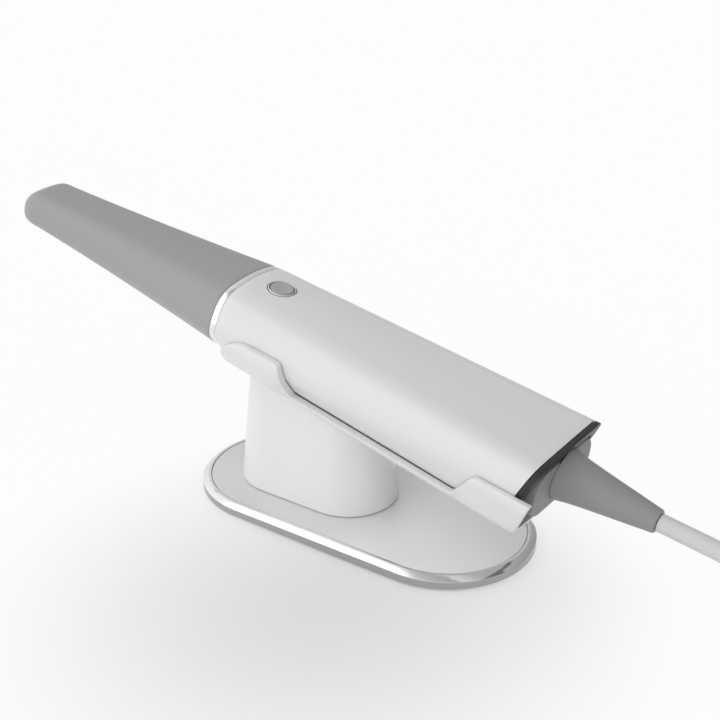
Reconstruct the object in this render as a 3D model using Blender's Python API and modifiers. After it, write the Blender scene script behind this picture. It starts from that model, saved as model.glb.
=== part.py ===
"""Intraoral scanner: a corded handpiece lying in its desk cradle.

Metres, +Z up. The origin is the centre of the base's underside, and +X points to the cable end.
The handpiece, its inside and the cradle are modelled in a frame of their own: +X runs forward
from the end of the strain relief to the tip, and +Z is the handpiece's own upward direction.
"""
import math

import bmesh
import bpy
from mathutils import Vector

# Base
BASE_LENGTH = 0.1293
BASE_WIDTH = 0.0620
BASE_HEIGHT = 0.0046
RIM_CHAMFER = 0.0022
RIM_WIDTH = 0.0075
RIM_EDGE_HEIGHT = 0.0026
PANEL_THICKNESS = 0.0012
FOOT_PAD_THICKNESS = 0.0010
FOOT_PAD_RECESS = 0.0006
FOOT_PAD_MARGIN = 0.0025

# Column
COLUMN_LENGTH = 0.0609
COLUMN_WIDTH = 0.0353
COLUMN_OFFSET = -0.0193
COLUMN_DRAFT = math.radians(5.6)
COLUMN_WALL = 0.0026
COLUMN_REACH = 0.060

# Handpiece frame
REAR_X = 0.1089
REAR_Z = 0.0337
INCLINE = math.radians(10.3)

# Handpiece body, measured forward from the end of the strain relief
BODY_REAR = 0.0384
BODY_FRONT = 0.1594
BODY_RAKE = 0.33
BODY_WALL = 0.0020
BODY_REAR_TOP = 0.0114
BODY_REAR_HALF_WIDTH = 0.0245
BODY_REAR_BOTTOM = 0.0171
BODY_FRONT_TOP = 0.0168
BODY_FRONT_HALF_WIDTH = 0.0219
BODY_FRONT_BOTTOM = 0.0110
PARTING_SHARE = 0.62

# Tip sleeve
TIP_LENGTH = 0.1060
TIP_NOSE = 0.0105
TIP_WALL = 0.0015
TIP_ROOT_BOTTOM = 0.0105
TIP_END_TOP = 0.0118
TIP_END_HALF_WIDTH = 0.0108
TIP_END_BOTTOM = 0.0040
TIP_WAIST = 0.0011
WINDOW_LENGTH = 0.0150
WINDOW_WIDTH = 0.0140
WINDOW_FROM_END = 0.0095
MIRROR_THICKNESS = 0.0011
MIRROR_HALF_WIDTH = 0.0070
MIRROR_EDGE = 0.0016
MIRROR_TILT = math.radians(45.0)

# Nose barrel and collar
COLLAR_WIDTH = 0.0022
BARREL_LENGTH = 0.0640
BARREL_ROOT = 0.0045
BARREL_WALL = 0.0015
GLASS_THICKNESS = 0.0012
GLASS_SETBACK = 0.0010

# Scan button
BUTTON_FROM_FRONT = 0.0109
BUTTON_RADIUS = 0.0041
BUTTON_HEIGHT = 0.0026
BUTTON_PROUD = 0.0003
BUTTON_TRAVEL = 0.0005
BUTTON_FLANGE = 0.0006
BUTTON_FLANGE_HEIGHT = 0.0006
BEZEL_WIDTH = 0.0006
BEZEL_PROUD = 0.0003
BUTTON_HOLE_DEPTH = 0.0060
SWITCH_SIZE = 0.0060
SWITCH_HEIGHT = 0.0022
BUTTON_BOARD_LENGTH = 0.0120
BUTTON_BOARD_WIDTH = 0.0160
BUTTON_POST_RADIUS = 0.0014
BUTTON_POST_SPACING = 0.0062
BOARD_THICKNESS = 0.0010

# Rear end
RING_WIDTH = 0.0021
CAP_SPIGOT = 0.0060
CAP_FACE = 0.0332
CAP_INSET = 0.0048
CAP_DRAFT = 0.0004
RELIEF_CONE_RADIUS = 0.0081
RELIEF_ROOT_RADIUS = 0.0092
RELIEF_END_RADIUS = 0.0039
RELIEF_SPIGOT_RADIUS = 0.0050
RELIEF_SPIGOT_LENGTH = 0.0050

# Inside the body
CHASSIS_LENGTH = 0.0840
CHASSIS_FROM_FRONT = 0.0045
CHASSIS_HALF_WIDTH = 0.0130
CHASSIS_FLOOR = -0.0050
CHASSIS_HEIGHT = 0.0080
CHASSIS_WALL = 0.0016
CHASSIS_BOSS_HALF_SPACING = 0.0060
MODULE_LENGTH = 0.0150
MODULE_WIDTH = 0.0100
MODULE_HEIGHT = 0.0095
MODULE_FROM_CHASSIS_FRONT = 0.0210
LENS_RADIUS = 0.0040
LENS_LENGTH = 0.0140
MAIN_BOARD_LENGTH = 0.0440
BOSS_RADIUS = 0.0030
BOSS_SPACING = 0.0560
SCREW_HEAD_RADIUS = 0.0021
SCREW_HEAD_HEIGHT = 0.0013
SCREW_SHANK_RADIUS = 0.0010
SCREW_LENGTH = 0.0090
SCREW_FROM_REAR = 0.0160
SCREW_HALF_SPACING = 0.0110
SCREW_SINK_DEPTH = 0.0010
SCREW_BOSS_HEIGHT = 0.0040

# Cradle
CRADLE_WALL = 0.0023
CRADLE_REAR = 0.0320
CRADLE_RAKE = 0.25
CRADLE_FRONT = 0.1560
CRADLE_GAP = 0.0004
REAR_EAR_LENGTH = 0.0197
REAR_EAR_LEVEL = 0.0016
FRONT_EAR_LENGTH = 0.0250
FRONT_EAR_LEVEL = 0.0040
RIM_REAR_LEVEL = -0.0124
RIM_FRONT_LEVEL = -0.0086
EAR_SLOPE_LENGTH = 0.0065
EAR_CORNER = 0.0120

# Stand screws
STAND_SCREW_HEAD_RADIUS = 0.0030
STAND_SCREW_HEAD_HEIGHT = 0.0012
STAND_SCREW_SHANK_RADIUS = 0.0015
STAND_SCREW_LENGTH = 0.0100
STAND_SCREW_HALF_SPACING = 0.0121
STAND_BOSS_RADIUS = 0.0042

# Cable
CABLE_RADIUS = 0.0030
COIL_CENTRE = (0.1900, 0.0185)
COIL_INNER_RADIUS = 0.0237
COIL_OUTER_RADIUS = 0.0481
COIL_HEIGHT = 0.0121
COIL_LIFT = 0.0009
COIL_ROUNDING = 0.0026
TIE_THICKNESS = 0.0006
TIE_WIDTH = 0.0080
TIE_ANGLE = math.radians(180.0)
CABLE_ROUTE = (
    (0.1092, 0.0000, 0.03365),
    (0.1190, 0.0000, 0.03205),
    (0.1287, 0.0000, 0.03045),
    (0.1358, -0.0011, 0.02835),
    (0.1424, -0.0041, 0.02484),
    (0.1489, -0.0084, 0.02044),
    (0.1555, -0.0132, 0.01566),
)
TAIL_START = math.radians(350.0)
TAIL_START_RADIUS = 0.0328
TAIL_BEND = 0.0235
TAIL_LENGTH = 0.0060
PLUG_LENGTH = 0.0220
PLUG_WIDTH = 0.0110
PLUG_HEIGHT = 0.0072
PLUG_SHELL_LENGTH = 0.0120
PLUG_SHELL_WIDTH = 0.0090
PLUG_SHELL_HEIGHT = 0.0046
PLUG_SHELL_WALL = 0.0005

# Clearances
SEAT_GAP = 0.0003
SLIDE_GAP = 0.00035

# Detail
OUTLINE_STEPS = 4
SHELL_POINTS = 23
BODY_STATIONS = 5
TIP_STATIONS = 7
NOSE_STATIONS = 5
ROUND_STEPS = 32


def clear_scene():
    """Remove every object that is in the scene."""
    for item in list(bpy.data.objects):
        bpy.data.objects.remove(item, do_unlink=True)


def collection(name):
    """Return a new collection linked to the scene."""
    group = bpy.data.collections.new(name)
    bpy.context.scene.collection.children.link(group)
    return group


def material(name, colour, roughness, metallic=0.0):
    """Return a Principled material."""
    made = bpy.data.materials.new(name)
    made.use_nodes = True
    shader = made.node_tree.nodes["Principled BSDF"]
    shader.inputs["Base Color"].default_value = (*colour, 1.0)
    shader.inputs["Roughness"].default_value = roughness
    shader.inputs["Metallic"].default_value = metallic
    made.diffuse_color = (*colour, 1.0)
    return made


clear_scene()
PARTS = collection("intraoral_scanner")
CUTTERS = collection("cutters")

WHITE = material("white_gloss_plastic", (0.80, 0.80, 0.81), 0.25)
GREY = material("grey_tip_plastic", (0.40, 0.40, 0.40), 0.45)
CABLE_GREY = material("strain_relief_rubber", (0.30, 0.30, 0.31), 0.55)
DARK = material("dark_ring_plastic", (0.03, 0.03, 0.03), 0.2)
CHROME = material("chrome", (0.80, 0.80, 0.82), 0.08, 1.0)
SATIN = material("satin_metal", (0.55, 0.56, 0.58), 0.35, 0.8)
STEEL = material("steel", (0.45, 0.45, 0.47), 0.4, 1.0)
RUBBER = material("black_rubber", (0.02, 0.02, 0.02), 0.8)
BLACK = material("black_optics", (0.01, 0.01, 0.01), 0.5)
GLASS = material("coated_glass", (0.35, 0.45, 0.50), 0.02)
MIRROR = material("mirror", (0.90, 0.90, 0.92), 0.02, 1.0)
BOARD = material("circuit_board", (0.02, 0.18, 0.08), 0.5)
CABLE = material("cable_jacket", (0.75, 0.75, 0.76), 0.5)

HANDPIECE = bpy.data.objects.new("handpiece_frame", None)
HANDPIECE.location = (REAR_X, 0.0, REAR_Z)
HANDPIECE.rotation_euler = (0.0, -INCLINE, math.pi)
PARTS.objects.link(HANDPIECE)


def add_object(name, mesh, look, parent=None, cutter=False):
    """Link an object to its collection and give it its material."""
    item = bpy.data.objects.new(name, mesh)
    (CUTTERS if cutter else PARTS).objects.link(item)
    if cutter:
        item.hide_render = True
        item.display_type = "WIRE"
    else:
        mesh.materials.append(look)
    if parent is not None:
        item.parent = parent
    return item


def mesh_from(name, work, smooth=True):
    """Turn a bmesh into a mesh whose faces point out, shaded smooth."""
    bmesh.ops.recalc_face_normals(work, faces=work.faces)
    mesh = bpy.data.meshes.new(name)
    work.to_mesh(mesh)
    work.free()
    if smooth:
        mesh.shade_smooth()
        mesh.set_sharp_from_angle(angle=math.radians(35.0))
    return mesh


def loft(name, rings, look=None, parent=None, cutter=False):
    """Build one closed body through rings of equal point count."""
    work = bmesh.new()
    rows = [[work.verts.new(point) for point in ring] for ring in rings]
    count = len(rings[0])
    for low, high in zip(rows, rows[1:]):
        for here in range(count):
            there = (here + 1) % count
            work.faces.new((low[here], low[there], high[there], high[here]))
    work.faces.new(rows[0])
    work.faces.new(rows[-1])
    bmesh.ops.triangulate(work, faces=work.faces)
    return add_object(name, mesh_from(name, work), look, parent, cutter)


def turned(name, profile, look=None, parent=None, steps=ROUND_STEPS, hollow=False, cutter=False):
    """Turn a profile of (radius, height) points about Z, listed from the top down its outer side."""
    mesh = bpy.data.meshes.new(name)
    points = [(radius, 0.0, height) for radius, height in profile]
    edges = [(here, here + 1) for here in range(len(points) - 1)]
    if hollow:
        edges.append((len(points) - 1, 0))
    mesh.from_pydata(points, edges, [])
    item = add_object(name, mesh, look, parent, cutter)
    screw = item.modifiers.new("turn", "SCREW")
    screw.axis = "Z"
    screw.steps = steps
    screw.render_steps = steps
    screw.use_merge_vertices = True
    screw.merge_threshold = 0.00001
    return item


def box(name, size, centre, look=None, parent=None, bevel=0.0, cutter=False):
    """Build a box, with rounded edges if a bevel is given."""
    work = bmesh.new()
    bmesh.ops.create_cube(work, size=1.0)
    bmesh.ops.scale(work, vec=size, verts=work.verts)
    item = add_object(name, mesh_from(name, work, smooth=False), look, parent, cutter)
    item.location = centre
    if bevel > 0.0:
        rounding = item.modifiers.new("rounded_edges", "BEVEL")
        rounding.width = bevel
        rounding.segments = 2
    return item


def boolean(item, tool, operation="DIFFERENCE"):
    """Cut an object by another, or join the other to it."""
    cut = item.modifiers.new(tool.name, "BOOLEAN")
    cut.operation = operation
    cut.solver = "EXACT"
    cut.object = tool


def lay_forward(item, place):
    """Turn an object's own Z to the handpiece's forward direction and put it in place."""
    item.rotation_euler = (0.0, math.pi / 2.0, 0.0)
    item.location = place


def stadium(length, width, height, centre=0.0, arc_steps=14):
    """Return the points of a race-track outline at a height."""
    radius = width / 2.0
    straight = length / 2.0 - radius
    points = []
    for side in (1.0, -1.0):
        for step in range(arc_steps + 1):
            angle = math.pi * (step / arc_steps - 0.5)
            x = centre + side * (straight + radius * math.cos(angle))
            points.append((x, side * radius * math.sin(angle), height))
    return points


def blend(start, end, share):
    """Return the value between two values."""
    return start + (end - start) * share


def offset_corners(corners, distance):
    """Move every side of a convex outline inwards by a distance."""
    moved = []
    count = len(corners)
    for here in range(count):
        before = Vector(corners[here - 1][:2])
        corner = Vector(corners[here][:2])
        after = Vector(corners[(here + 1) % count][:2])
        first = (corner - before).normalized()
        second = (after - corner).normalized()
        first_inward = Vector((-first.y, first.x))
        second_inward = Vector((-second.y, second.x))
        turn = 1.0 + first_inward.dot(second_inward)
        point = corner + (first_inward + second_inward) * (distance / turn)
        moved.append((point.x, point.y, corners[here][2]))
    return moved


def rounded(corners, steps=OUTLINE_STEPS):
    """Round each corner (y, z, reach) of an outline, reach being how far the rounding runs."""
    points = []
    count = len(corners)
    for here in range(count):
        before = Vector(corners[here - 1][:2])
        corner = Vector(corners[here][:2])
        after = Vector(corners[(here + 1) % count][:2])
        reach = corners[here][2]
        start_reach = min(reach, 0.48 * (before - corner).length)
        end_reach = min(reach, 0.48 * (after - corner).length)
        start = corner + (before - corner).normalized() * start_reach
        end = corner + (after - corner).normalized() * end_reach
        for step in range(steps + 1):
            share = step / steps
            first = start.lerp(corner, share)
            second = corner.lerp(end, share)
            point = first.lerp(second, share)
            points.append((point.x, point.y))
    return points


def body_corners(forward):
    """Return the corners of the handpiece's outer section, counterclockwise from the keel."""
    share = (forward - BODY_REAR) / (BODY_FRONT - BODY_REAR)
    top = blend(BODY_REAR_TOP, BODY_FRONT_TOP, share)
    half = blend(BODY_REAR_HALF_WIDTH, BODY_FRONT_HALF_WIDTH, share)
    bottom = blend(BODY_REAR_BOTTOM, BODY_FRONT_BOTTOM, share)
    shape = (
        (blend(0.70, 0.62, share) * half, -blend(0.90, 0.93, share) * bottom, 0.0060),
        (half, 0.0005, 0.0045),
        (blend(0.885, 0.776, share) * half, blend(0.965, 0.87, share) * top, blend(0.0058, 0.0088, share)),
    )
    return mirrored_corners(top, bottom, shape)


def mirrored_corners(top, bottom, shape):
    """Return a full outline from the corners of its right half, keel and crown added."""
    right = [(0.0, -bottom, 0.0050), *shape]
    left = [(-y, z, reach) for y, z, reach in reversed(shape)]
    return right + [(0.0, top, 0.0070)] + left


def tip_corners(share):
    """Return the corners of the tip sleeve's outer section, share 0 at its root and 1 at its end."""
    front = BODY_FRONT_HALF_WIDTH
    bow = 4.0 * share * (1.0 - share) * TIP_WAIST
    top = blend(BODY_FRONT_TOP, TIP_END_TOP, share) - 0.25 * bow
    half = blend(front, TIP_END_HALF_WIDTH, share) - bow
    bottom = blend(TIP_ROOT_BOTTOM, TIP_END_BOTTOM, share) - 0.4 * bow
    shape = (
        (blend(0.60, 0.84, share) * half, -blend(0.90, 0.88, share) * bottom, blend(0.0060, 0.0030, share)),
        (half, blend(0.0005, 0.0030, share), blend(0.0045, 0.0030, share)),
        (blend(0.776, 0.90, share) * half, blend(0.87, 0.93, share) * top, blend(0.0088, 0.0042, share)),
    )
    return mirrored_corners(top, bottom, shape)


TIP_ROOT = BODY_FRONT + SEAT_GAP + COLLAR_WIDTH + SEAT_GAP
TIP_END = TIP_ROOT + TIP_LENGTH
TIP_STRAIGHT = TIP_LENGTH - TIP_NOSE


def section_corners(forward):
    """Return the outer corners of the body or, ahead of it, of the tip sleeve."""
    if forward <= BODY_FRONT:
        return body_corners(forward)
    share = max(0.0, (forward - TIP_ROOT) / TIP_STRAIGHT)
    return tip_corners(min(share, 1.0))


def section(forward, inset=0.0):
    """Return the rounded outer section at a place, moved inwards by an inset."""
    corners = section_corners(forward)
    if inset != 0.0:
        corners = offset_corners(corners, inset)
    return rounded(corners)


def ring_at(forward, inset=0.0, rake=0.0):
    """Return the closed section as points of the handpiece frame, leaned by a rake."""
    return [(forward - rake * z, y, z) for y, z in section(forward, inset)]


def body_rake(forward):
    """Return how far a station of the body leans, from the raked rear end to the upright front."""
    share = (forward - BODY_REAR) / (BODY_FRONT - BODY_REAR)
    return BODY_RAKE * max(0.0, 1.0 - share)


def spread(points, count):
    """Return count points spread evenly along an open line."""
    vectors = [Vector(point) for point in points]
    lengths = [0.0]
    for first, second in zip(vectors, vectors[1:]):
        lengths.append(lengths[-1] + (second - first).length)
    even = []
    here = 0
    for step in range(count):
        wanted = lengths[-1] * step / (count - 1)
        while here < len(vectors) - 2 and lengths[here + 1] < wanted:
            here += 1
        span = max(lengths[here + 1] - lengths[here], 1e-9)
        point = vectors[here].lerp(vectors[here + 1], min(1.0, (wanted - lengths[here]) / span))
        even.append((point.x, point.y))
    return even


def cut_outline(outline, level, keep_upper):
    """Return the part of an outline above or below a level, as an open line."""
    sign = 1.0 if keep_upper else -1.0
    count = len(outline)
    start = next(i for i in range(count)
                 if sign * (outline[i - 1][1] - level) <= 0.0 < sign * (outline[i][1] - level))
    kept = []
    for step in range(count + 1):
        before = outline[(start + step - 1) % count]
        here = outline[(start + step) % count]
        inside = sign * (here[1] - level) > 0.0
        if step == 0 or not inside:
            share = (level - before[1]) / (here[1] - before[1])
            kept.append((blend(before[0], here[0], share), level))
        if not inside:
            break
        kept.append(here)
    return kept


def half_shell_ring(forward, rake, level, keep_upper, outer_inset, inner_inset):
    """Return the closed section of a wall between two insets, above or below a level."""
    outer = spread(cut_outline(section(forward, outer_inset), level, keep_upper), SHELL_POINTS)
    inner = spread(cut_outline(section(forward, inner_inset), level, keep_upper), SHELL_POINTS)
    loop = outer + inner[::-1]
    return [(forward - rake * z, y, z) for y, z in loop]


def parting_level(forward):
    """Return the height of the parting line between the upper and the lower shell."""
    corners = body_corners(forward)
    lower = corners[1][1]
    side = corners[2][1]
    return blend(side, lower, PARTING_SHARE)


def stations(start, end, count):
    """Return evenly spaced places from start to end."""
    return [blend(start, end, step / (count - 1)) for step in range(count)]


def body_wall(name, look, keep_upper):
    """Build the upper or the lower shell of the handpiece."""
    shift = SEAT_GAP / 2.0 if keep_upper else -SEAT_GAP / 2.0
    rings = [
        half_shell_ring(place, body_rake(place), parting_level(place) + shift, keep_upper, 0.0, BODY_WALL)
        for place in stations(BODY_REAR, BODY_FRONT, BODY_STATIONS)
    ]
    return loft(name, rings, look, HANDPIECE)


def cylinder_cutter(name, radius, low, high, place, parent=HANDPIECE, steps=24):
    """Build an upright cylinder used for a hole or a boss."""
    tool = turned(name, [(0.0, high), (radius, high), (radius, low), (0.0, low)],
                  parent=parent, steps=steps, cutter=True)
    tool.location = place
    return tool


def body_top(forward):
    """Return the height of the crown line of the body."""
    return max(z for _, z in section(forward))


def body_bottom(forward):
    """Return the height of the keel line of the body."""
    return min(z for _, z in section(forward))


def underside(place, side):
    """Return the height of the body's underside at a place and a distance from its middle."""
    height = body_bottom(place)
    for _ in range(3):
        forward = place + body_rake(place) * height
        lower = [point for point in section(forward) if point[1] < 0.0]
        for first, second in zip(lower, lower[1:]):
            if first[0] <= side < second[0]:
                height = blend(first[1], second[1], (side - first[0]) / (second[0] - first[0]))
    return height


BUTTON_PLACE = BODY_FRONT - BUTTON_FROM_FRONT
BEZEL_RADIUS = BUTTON_RADIUS + SEAT_GAP + BEZEL_WIDTH
BUTTON_SLOPE = math.atan2(body_top(BODY_FRONT) - body_top(BODY_REAR), BODY_FRONT - BODY_REAR)
BUTTON_BASE = BUTTON_PROUD - BUTTON_HEIGHT
BUTTON_BOARD_TOP = BUTTON_BASE - BUTTON_FLANGE_HEIGHT - BUTTON_TRAVEL - SEAT_GAP - SWITCH_HEIGHT

CHASSIS_FRONT = BODY_FRONT - CHASSIS_FROM_FRONT - BARREL_ROOT
CHASSIS_REAR = CHASSIS_FRONT - CHASSIS_LENGTH
SCREW_PLACE = BODY_REAR + SCREW_FROM_REAR
SCREW_SEAT = underside(SCREW_PLACE, SCREW_HALF_SPACING) + SCREW_SINK_DEPTH + SCREW_HEAD_HEIGHT
SCREW_BOSS_TOP = SCREW_SEAT + SCREW_BOSS_HEIGHT


def button_empty():
    """Place the empty that carries the button and its bezel, square to the crown line."""
    empty = bpy.data.objects.new("button_frame", None)
    empty.location = (BUTTON_PLACE, 0.0, body_top(BUTTON_PLACE))
    empty.rotation_euler = (0.0, -BUTTON_SLOPE, 0.0)
    empty.parent = HANDPIECE
    PARTS.objects.link(empty)
    return empty


def build_button(frame):
    """Build the scan button, its bezel, the switch and the small board under it."""
    flange = BUTTON_RADIUS + BUTTON_FLANGE
    turned("button_cap", [
        (0.0, BUTTON_PROUD - 0.0002), (BUTTON_RADIUS - 0.0008, BUTTON_PROUD),
        (BUTTON_RADIUS, BUTTON_PROUD - 0.0003), (BUTTON_RADIUS, BUTTON_BASE),
        (flange, BUTTON_BASE), (flange, BUTTON_BASE - BUTTON_FLANGE_HEIGHT),
        (0.0, BUTTON_BASE - BUTTON_FLANGE_HEIGHT),
    ], SATIN, frame)
    inner = BUTTON_RADIUS + SEAT_GAP
    bezel_base = BUTTON_BASE + SEAT_GAP
    turned("button_bezel", [
        (inner, BEZEL_PROUD - 0.0002), (inner + 0.0002, BEZEL_PROUD),
        (BEZEL_RADIUS, BEZEL_PROUD - 0.0003), (BEZEL_RADIUS, bezel_base), (inner, bezel_base),
    ], CHROME, frame, hollow=True)
    box("tact_switch", (SWITCH_SIZE, SWITCH_SIZE, SWITCH_HEIGHT - SEAT_GAP),
        (0.0, 0.0, BUTTON_BOARD_TOP + (SWITCH_HEIGHT + SEAT_GAP) / 2.0), BLACK, frame)
    box("button_board", (BUTTON_BOARD_LENGTH, BUTTON_BOARD_WIDTH, BOARD_THICKNESS),
        (0.0, 0.0, BUTTON_BOARD_TOP - BOARD_THICKNESS / 2.0), BOARD, frame)


def build_upper_shell(frame):
    """Build the upper shell with its button hole, board posts and screw bosses."""
    shell = body_wall("upper_shell", WHITE, True)
    hole = cylinder_cutter("button_hole", BEZEL_RADIUS + SEAT_GAP, -BUTTON_HOLE_DEPTH, BUTTON_HOLE_DEPTH,
                           (0.0, 0.0, 0.0), frame, ROUND_STEPS)
    for side in (-1.0, 1.0):
        post = cylinder_cutter(f"board_post_{side:+.0f}", BUTTON_POST_RADIUS,
                               BUTTON_BOARD_TOP + SEAT_GAP, -0.0012,
                               (0.0, side * BUTTON_POST_SPACING, 0.0), frame, 16)
        boolean(shell, post, "UNION")
        place = (SCREW_PLACE, side * SCREW_HALF_SPACING, 0.0)
        boss = cylinder_cutter(f"upper_boss_{side:+.0f}", BOSS_RADIUS, SCREW_BOSS_TOP + SEAT_GAP,
                               body_top(SCREW_PLACE) - 0.0018, place)
        boolean(shell, boss, "UNION")
        bore = cylinder_cutter(f"upper_bore_{side:+.0f}", SCREW_SHANK_RADIUS + SEAT_GAP,
                               SCREW_BOSS_TOP - 0.002, SCREW_SEAT + SCREW_LENGTH + 0.0010, place, steps=16)
        boolean(shell, bore)
    boolean(shell, hole)
    return shell


def build_lower_shell():
    """Build the lower shell with its chassis bosses and counterbored screw holes."""
    shell = body_wall("lower_shell", WHITE, False)
    middle = (CHASSIS_FRONT + CHASSIS_REAR) / 2.0
    for end in (-1.0, 1.0):
        place = middle + end * BOSS_SPACING / 2.0
        for side in (-1.0, 1.0):
            boss = cylinder_cutter(f"chassis_boss_{end:+.0f}_{side:+.0f}", BOSS_RADIUS,
                                   body_bottom(place) + 0.0014, CHASSIS_FLOOR - SEAT_GAP,
                                   (place, side * CHASSIS_BOSS_HALF_SPACING, 0.0))
            boolean(shell, boss, "UNION")
    for side in (-1.0, 1.0):
        place = (SCREW_PLACE, side * SCREW_HALF_SPACING, 0.0)
        boss = cylinder_cutter(f"lower_boss_{side:+.0f}", BOSS_RADIUS, SCREW_SEAT - 0.0004, SCREW_BOSS_TOP,
                               place)
        boolean(shell, boss, "UNION")
        sink = cylinder_cutter(f"screw_sink_{side:+.0f}", SCREW_HEAD_RADIUS + SEAT_GAP,
                               SCREW_SEAT - 0.006, SCREW_SEAT + SEAT_GAP, place, steps=20)
        boolean(shell, sink)
        bore = cylinder_cutter(f"lower_bore_{side:+.0f}", SCREW_SHANK_RADIUS + SEAT_GAP,
                               SCREW_SEAT - 0.006, SCREW_BOSS_TOP + 0.001, place, steps=16)
        boolean(shell, bore)
    return shell


def screw(name, head_radius, head_height, shank_radius, length, parent, steps=20):
    """Build a screw whose head's underside is at height 0 and whose shank points up."""
    return turned(name, [
        (0.0, length), (shank_radius * 0.6, length), (shank_radius, length - shank_radius * 0.5),
        (shank_radius, 0.0), (head_radius, 0.0), (head_radius, -head_height), (0.0, -head_height),
    ], STEEL, parent, steps)


def build_shell_screws():
    """Build the screws that hold the two shells together."""
    for side, word in ((-1.0, "left"), (1.0, "right")):
        item = screw(f"shell_screw_{word}", SCREW_HEAD_RADIUS, SCREW_HEAD_HEIGHT, SCREW_SHANK_RADIUS,
                     SCREW_LENGTH, HANDPIECE)
        item.location = (SCREW_PLACE, side * SCREW_HALF_SPACING, SCREW_SEAT)


def hollow_loft(name, look, rings, cavity_rings):
    """Build a lofted body and cut a lofted cavity out of it."""
    item = loft(name, rings, look, HANDPIECE)
    cavity = loft(f"{name}_cavity", cavity_rings, parent=HANDPIECE, cutter=True)
    boolean(item, cavity)
    return item


def nose_rings(inset, depth):
    """Return the rings that close the tip sleeve's rounded end, out to a depth."""
    last = section(TIP_END - TIP_NOSE, inset)
    middle = (max(z for _, z in last) + min(z for _, z in last)) / 2.0
    rings = []
    for step in range(1, NOSE_STATIONS + 1):
        angle = math.radians(86.0) * step / NOSE_STATIONS
        forward = TIP_END - TIP_NOSE + depth * math.sin(angle) ** 0.9
        scale = math.cos(angle) ** 0.62
        rings.append([(forward, y * scale, middle + (z - middle) * scale) for y, z in last])
    return rings


def build_tip():
    """Build the pull-off tip sleeve, open at its root and at the scan window, and its mirror."""
    inset = SEAT_GAP / 2.0
    straight_end = TIP_END - TIP_NOSE
    outer = [ring_at(place, inset) for place in stations(TIP_ROOT, straight_end, TIP_STATIONS)]
    inner_inset = inset + TIP_WALL
    inner = [ring_at(place, inner_inset) for place in stations(TIP_ROOT, straight_end, TIP_STATIONS)]
    inner[0] = [(x - 0.002, y, z) for x, y, z in inner[0]]
    sleeve = hollow_loft("tip_sleeve", GREY, outer + nose_rings(inset, TIP_NOSE),
                         inner + nose_rings(inner_inset, TIP_NOSE - TIP_WALL))
    window_front = TIP_END - WINDOW_FROM_END
    window = box("scan_window", (WINDOW_LENGTH, WINDOW_WIDTH, 0.0080),
                 (window_front - WINDOW_LENGTH / 2.0, 0.0, -0.0055), parent=HANDPIECE, cutter=True)
    boolean(sleeve, window)
    centre = window_front - WINDOW_LENGTH / 2.0
    roof = max(z for _, z in section(centre, inner_inset))
    floor = min(z for _, z in section(centre, inner_inset))
    length = (roof - floor - 2.0 * SEAT_GAP) / math.sin(MIRROR_TILT) - 2.0 * MIRROR_EDGE
    mirror = box("tip_mirror", (length, 2.0 * MIRROR_HALF_WIDTH, MIRROR_THICKNESS),
                 (centre, 0.0, (roof + floor) / 2.0), MIRROR, HANDPIECE)
    mirror.rotation_euler = (0.0, MIRROR_TILT, 0.0)


def build_barrel():
    """Build the chrome collar, the nose barrel that carries the sleeve, and its front glass."""
    outer_inset = SEAT_GAP / 2.0 + TIP_WALL + SLIDE_GAP
    body_inset = BODY_WALL + SEAT_GAP
    root = BODY_FRONT - BARREL_ROOT
    front = TIP_ROOT + BARREL_LENGTH
    places = stations(TIP_ROOT, front, 4)
    outer = [ring_at(root, body_inset), ring_at(BODY_FRONT + SEAT_GAP, body_inset)]
    outer += [ring_at(place, outer_inset) for place in places]
    wall = BARREL_WALL
    inner = [ring_at(root - 0.001, body_inset + wall), ring_at(BODY_FRONT, body_inset + wall)]
    inner += [ring_at(place, outer_inset + wall) for place in places[:-1]]
    last = ring_at(front, outer_inset + wall)
    inner.append([(x + 0.001, y, z) for x, y, z in last])
    hollow_loft("nose_barrel", BLACK, outer, inner)
    glass_back = front - GLASS_SETBACK - GLASS_THICKNESS
    glass = [ring_at(place, outer_inset + wall + SEAT_GAP) for place in
             (glass_back, front - GLASS_SETBACK)]
    loft("barrel_glass", glass, GLASS, HANDPIECE)
    collar = (BODY_FRONT + SEAT_GAP, BODY_FRONT + SEAT_GAP + COLLAR_WIDTH)
    inner_inset = body_inset - SEAT_GAP
    rings = [ring_at(place, 0.0001) for place in collar]
    cavity = [ring_at(collar[0], inner_inset), ring_at(collar[1], inner_inset)]
    cavity[0] = [(x - 0.001, y, z) for x, y, z in cavity[0]]
    cavity[1] = [(x + 0.001, y, z) for x, y, z in cavity[1]]
    hollow_loft("collar_ring", CHROME, rings, cavity)


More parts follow.
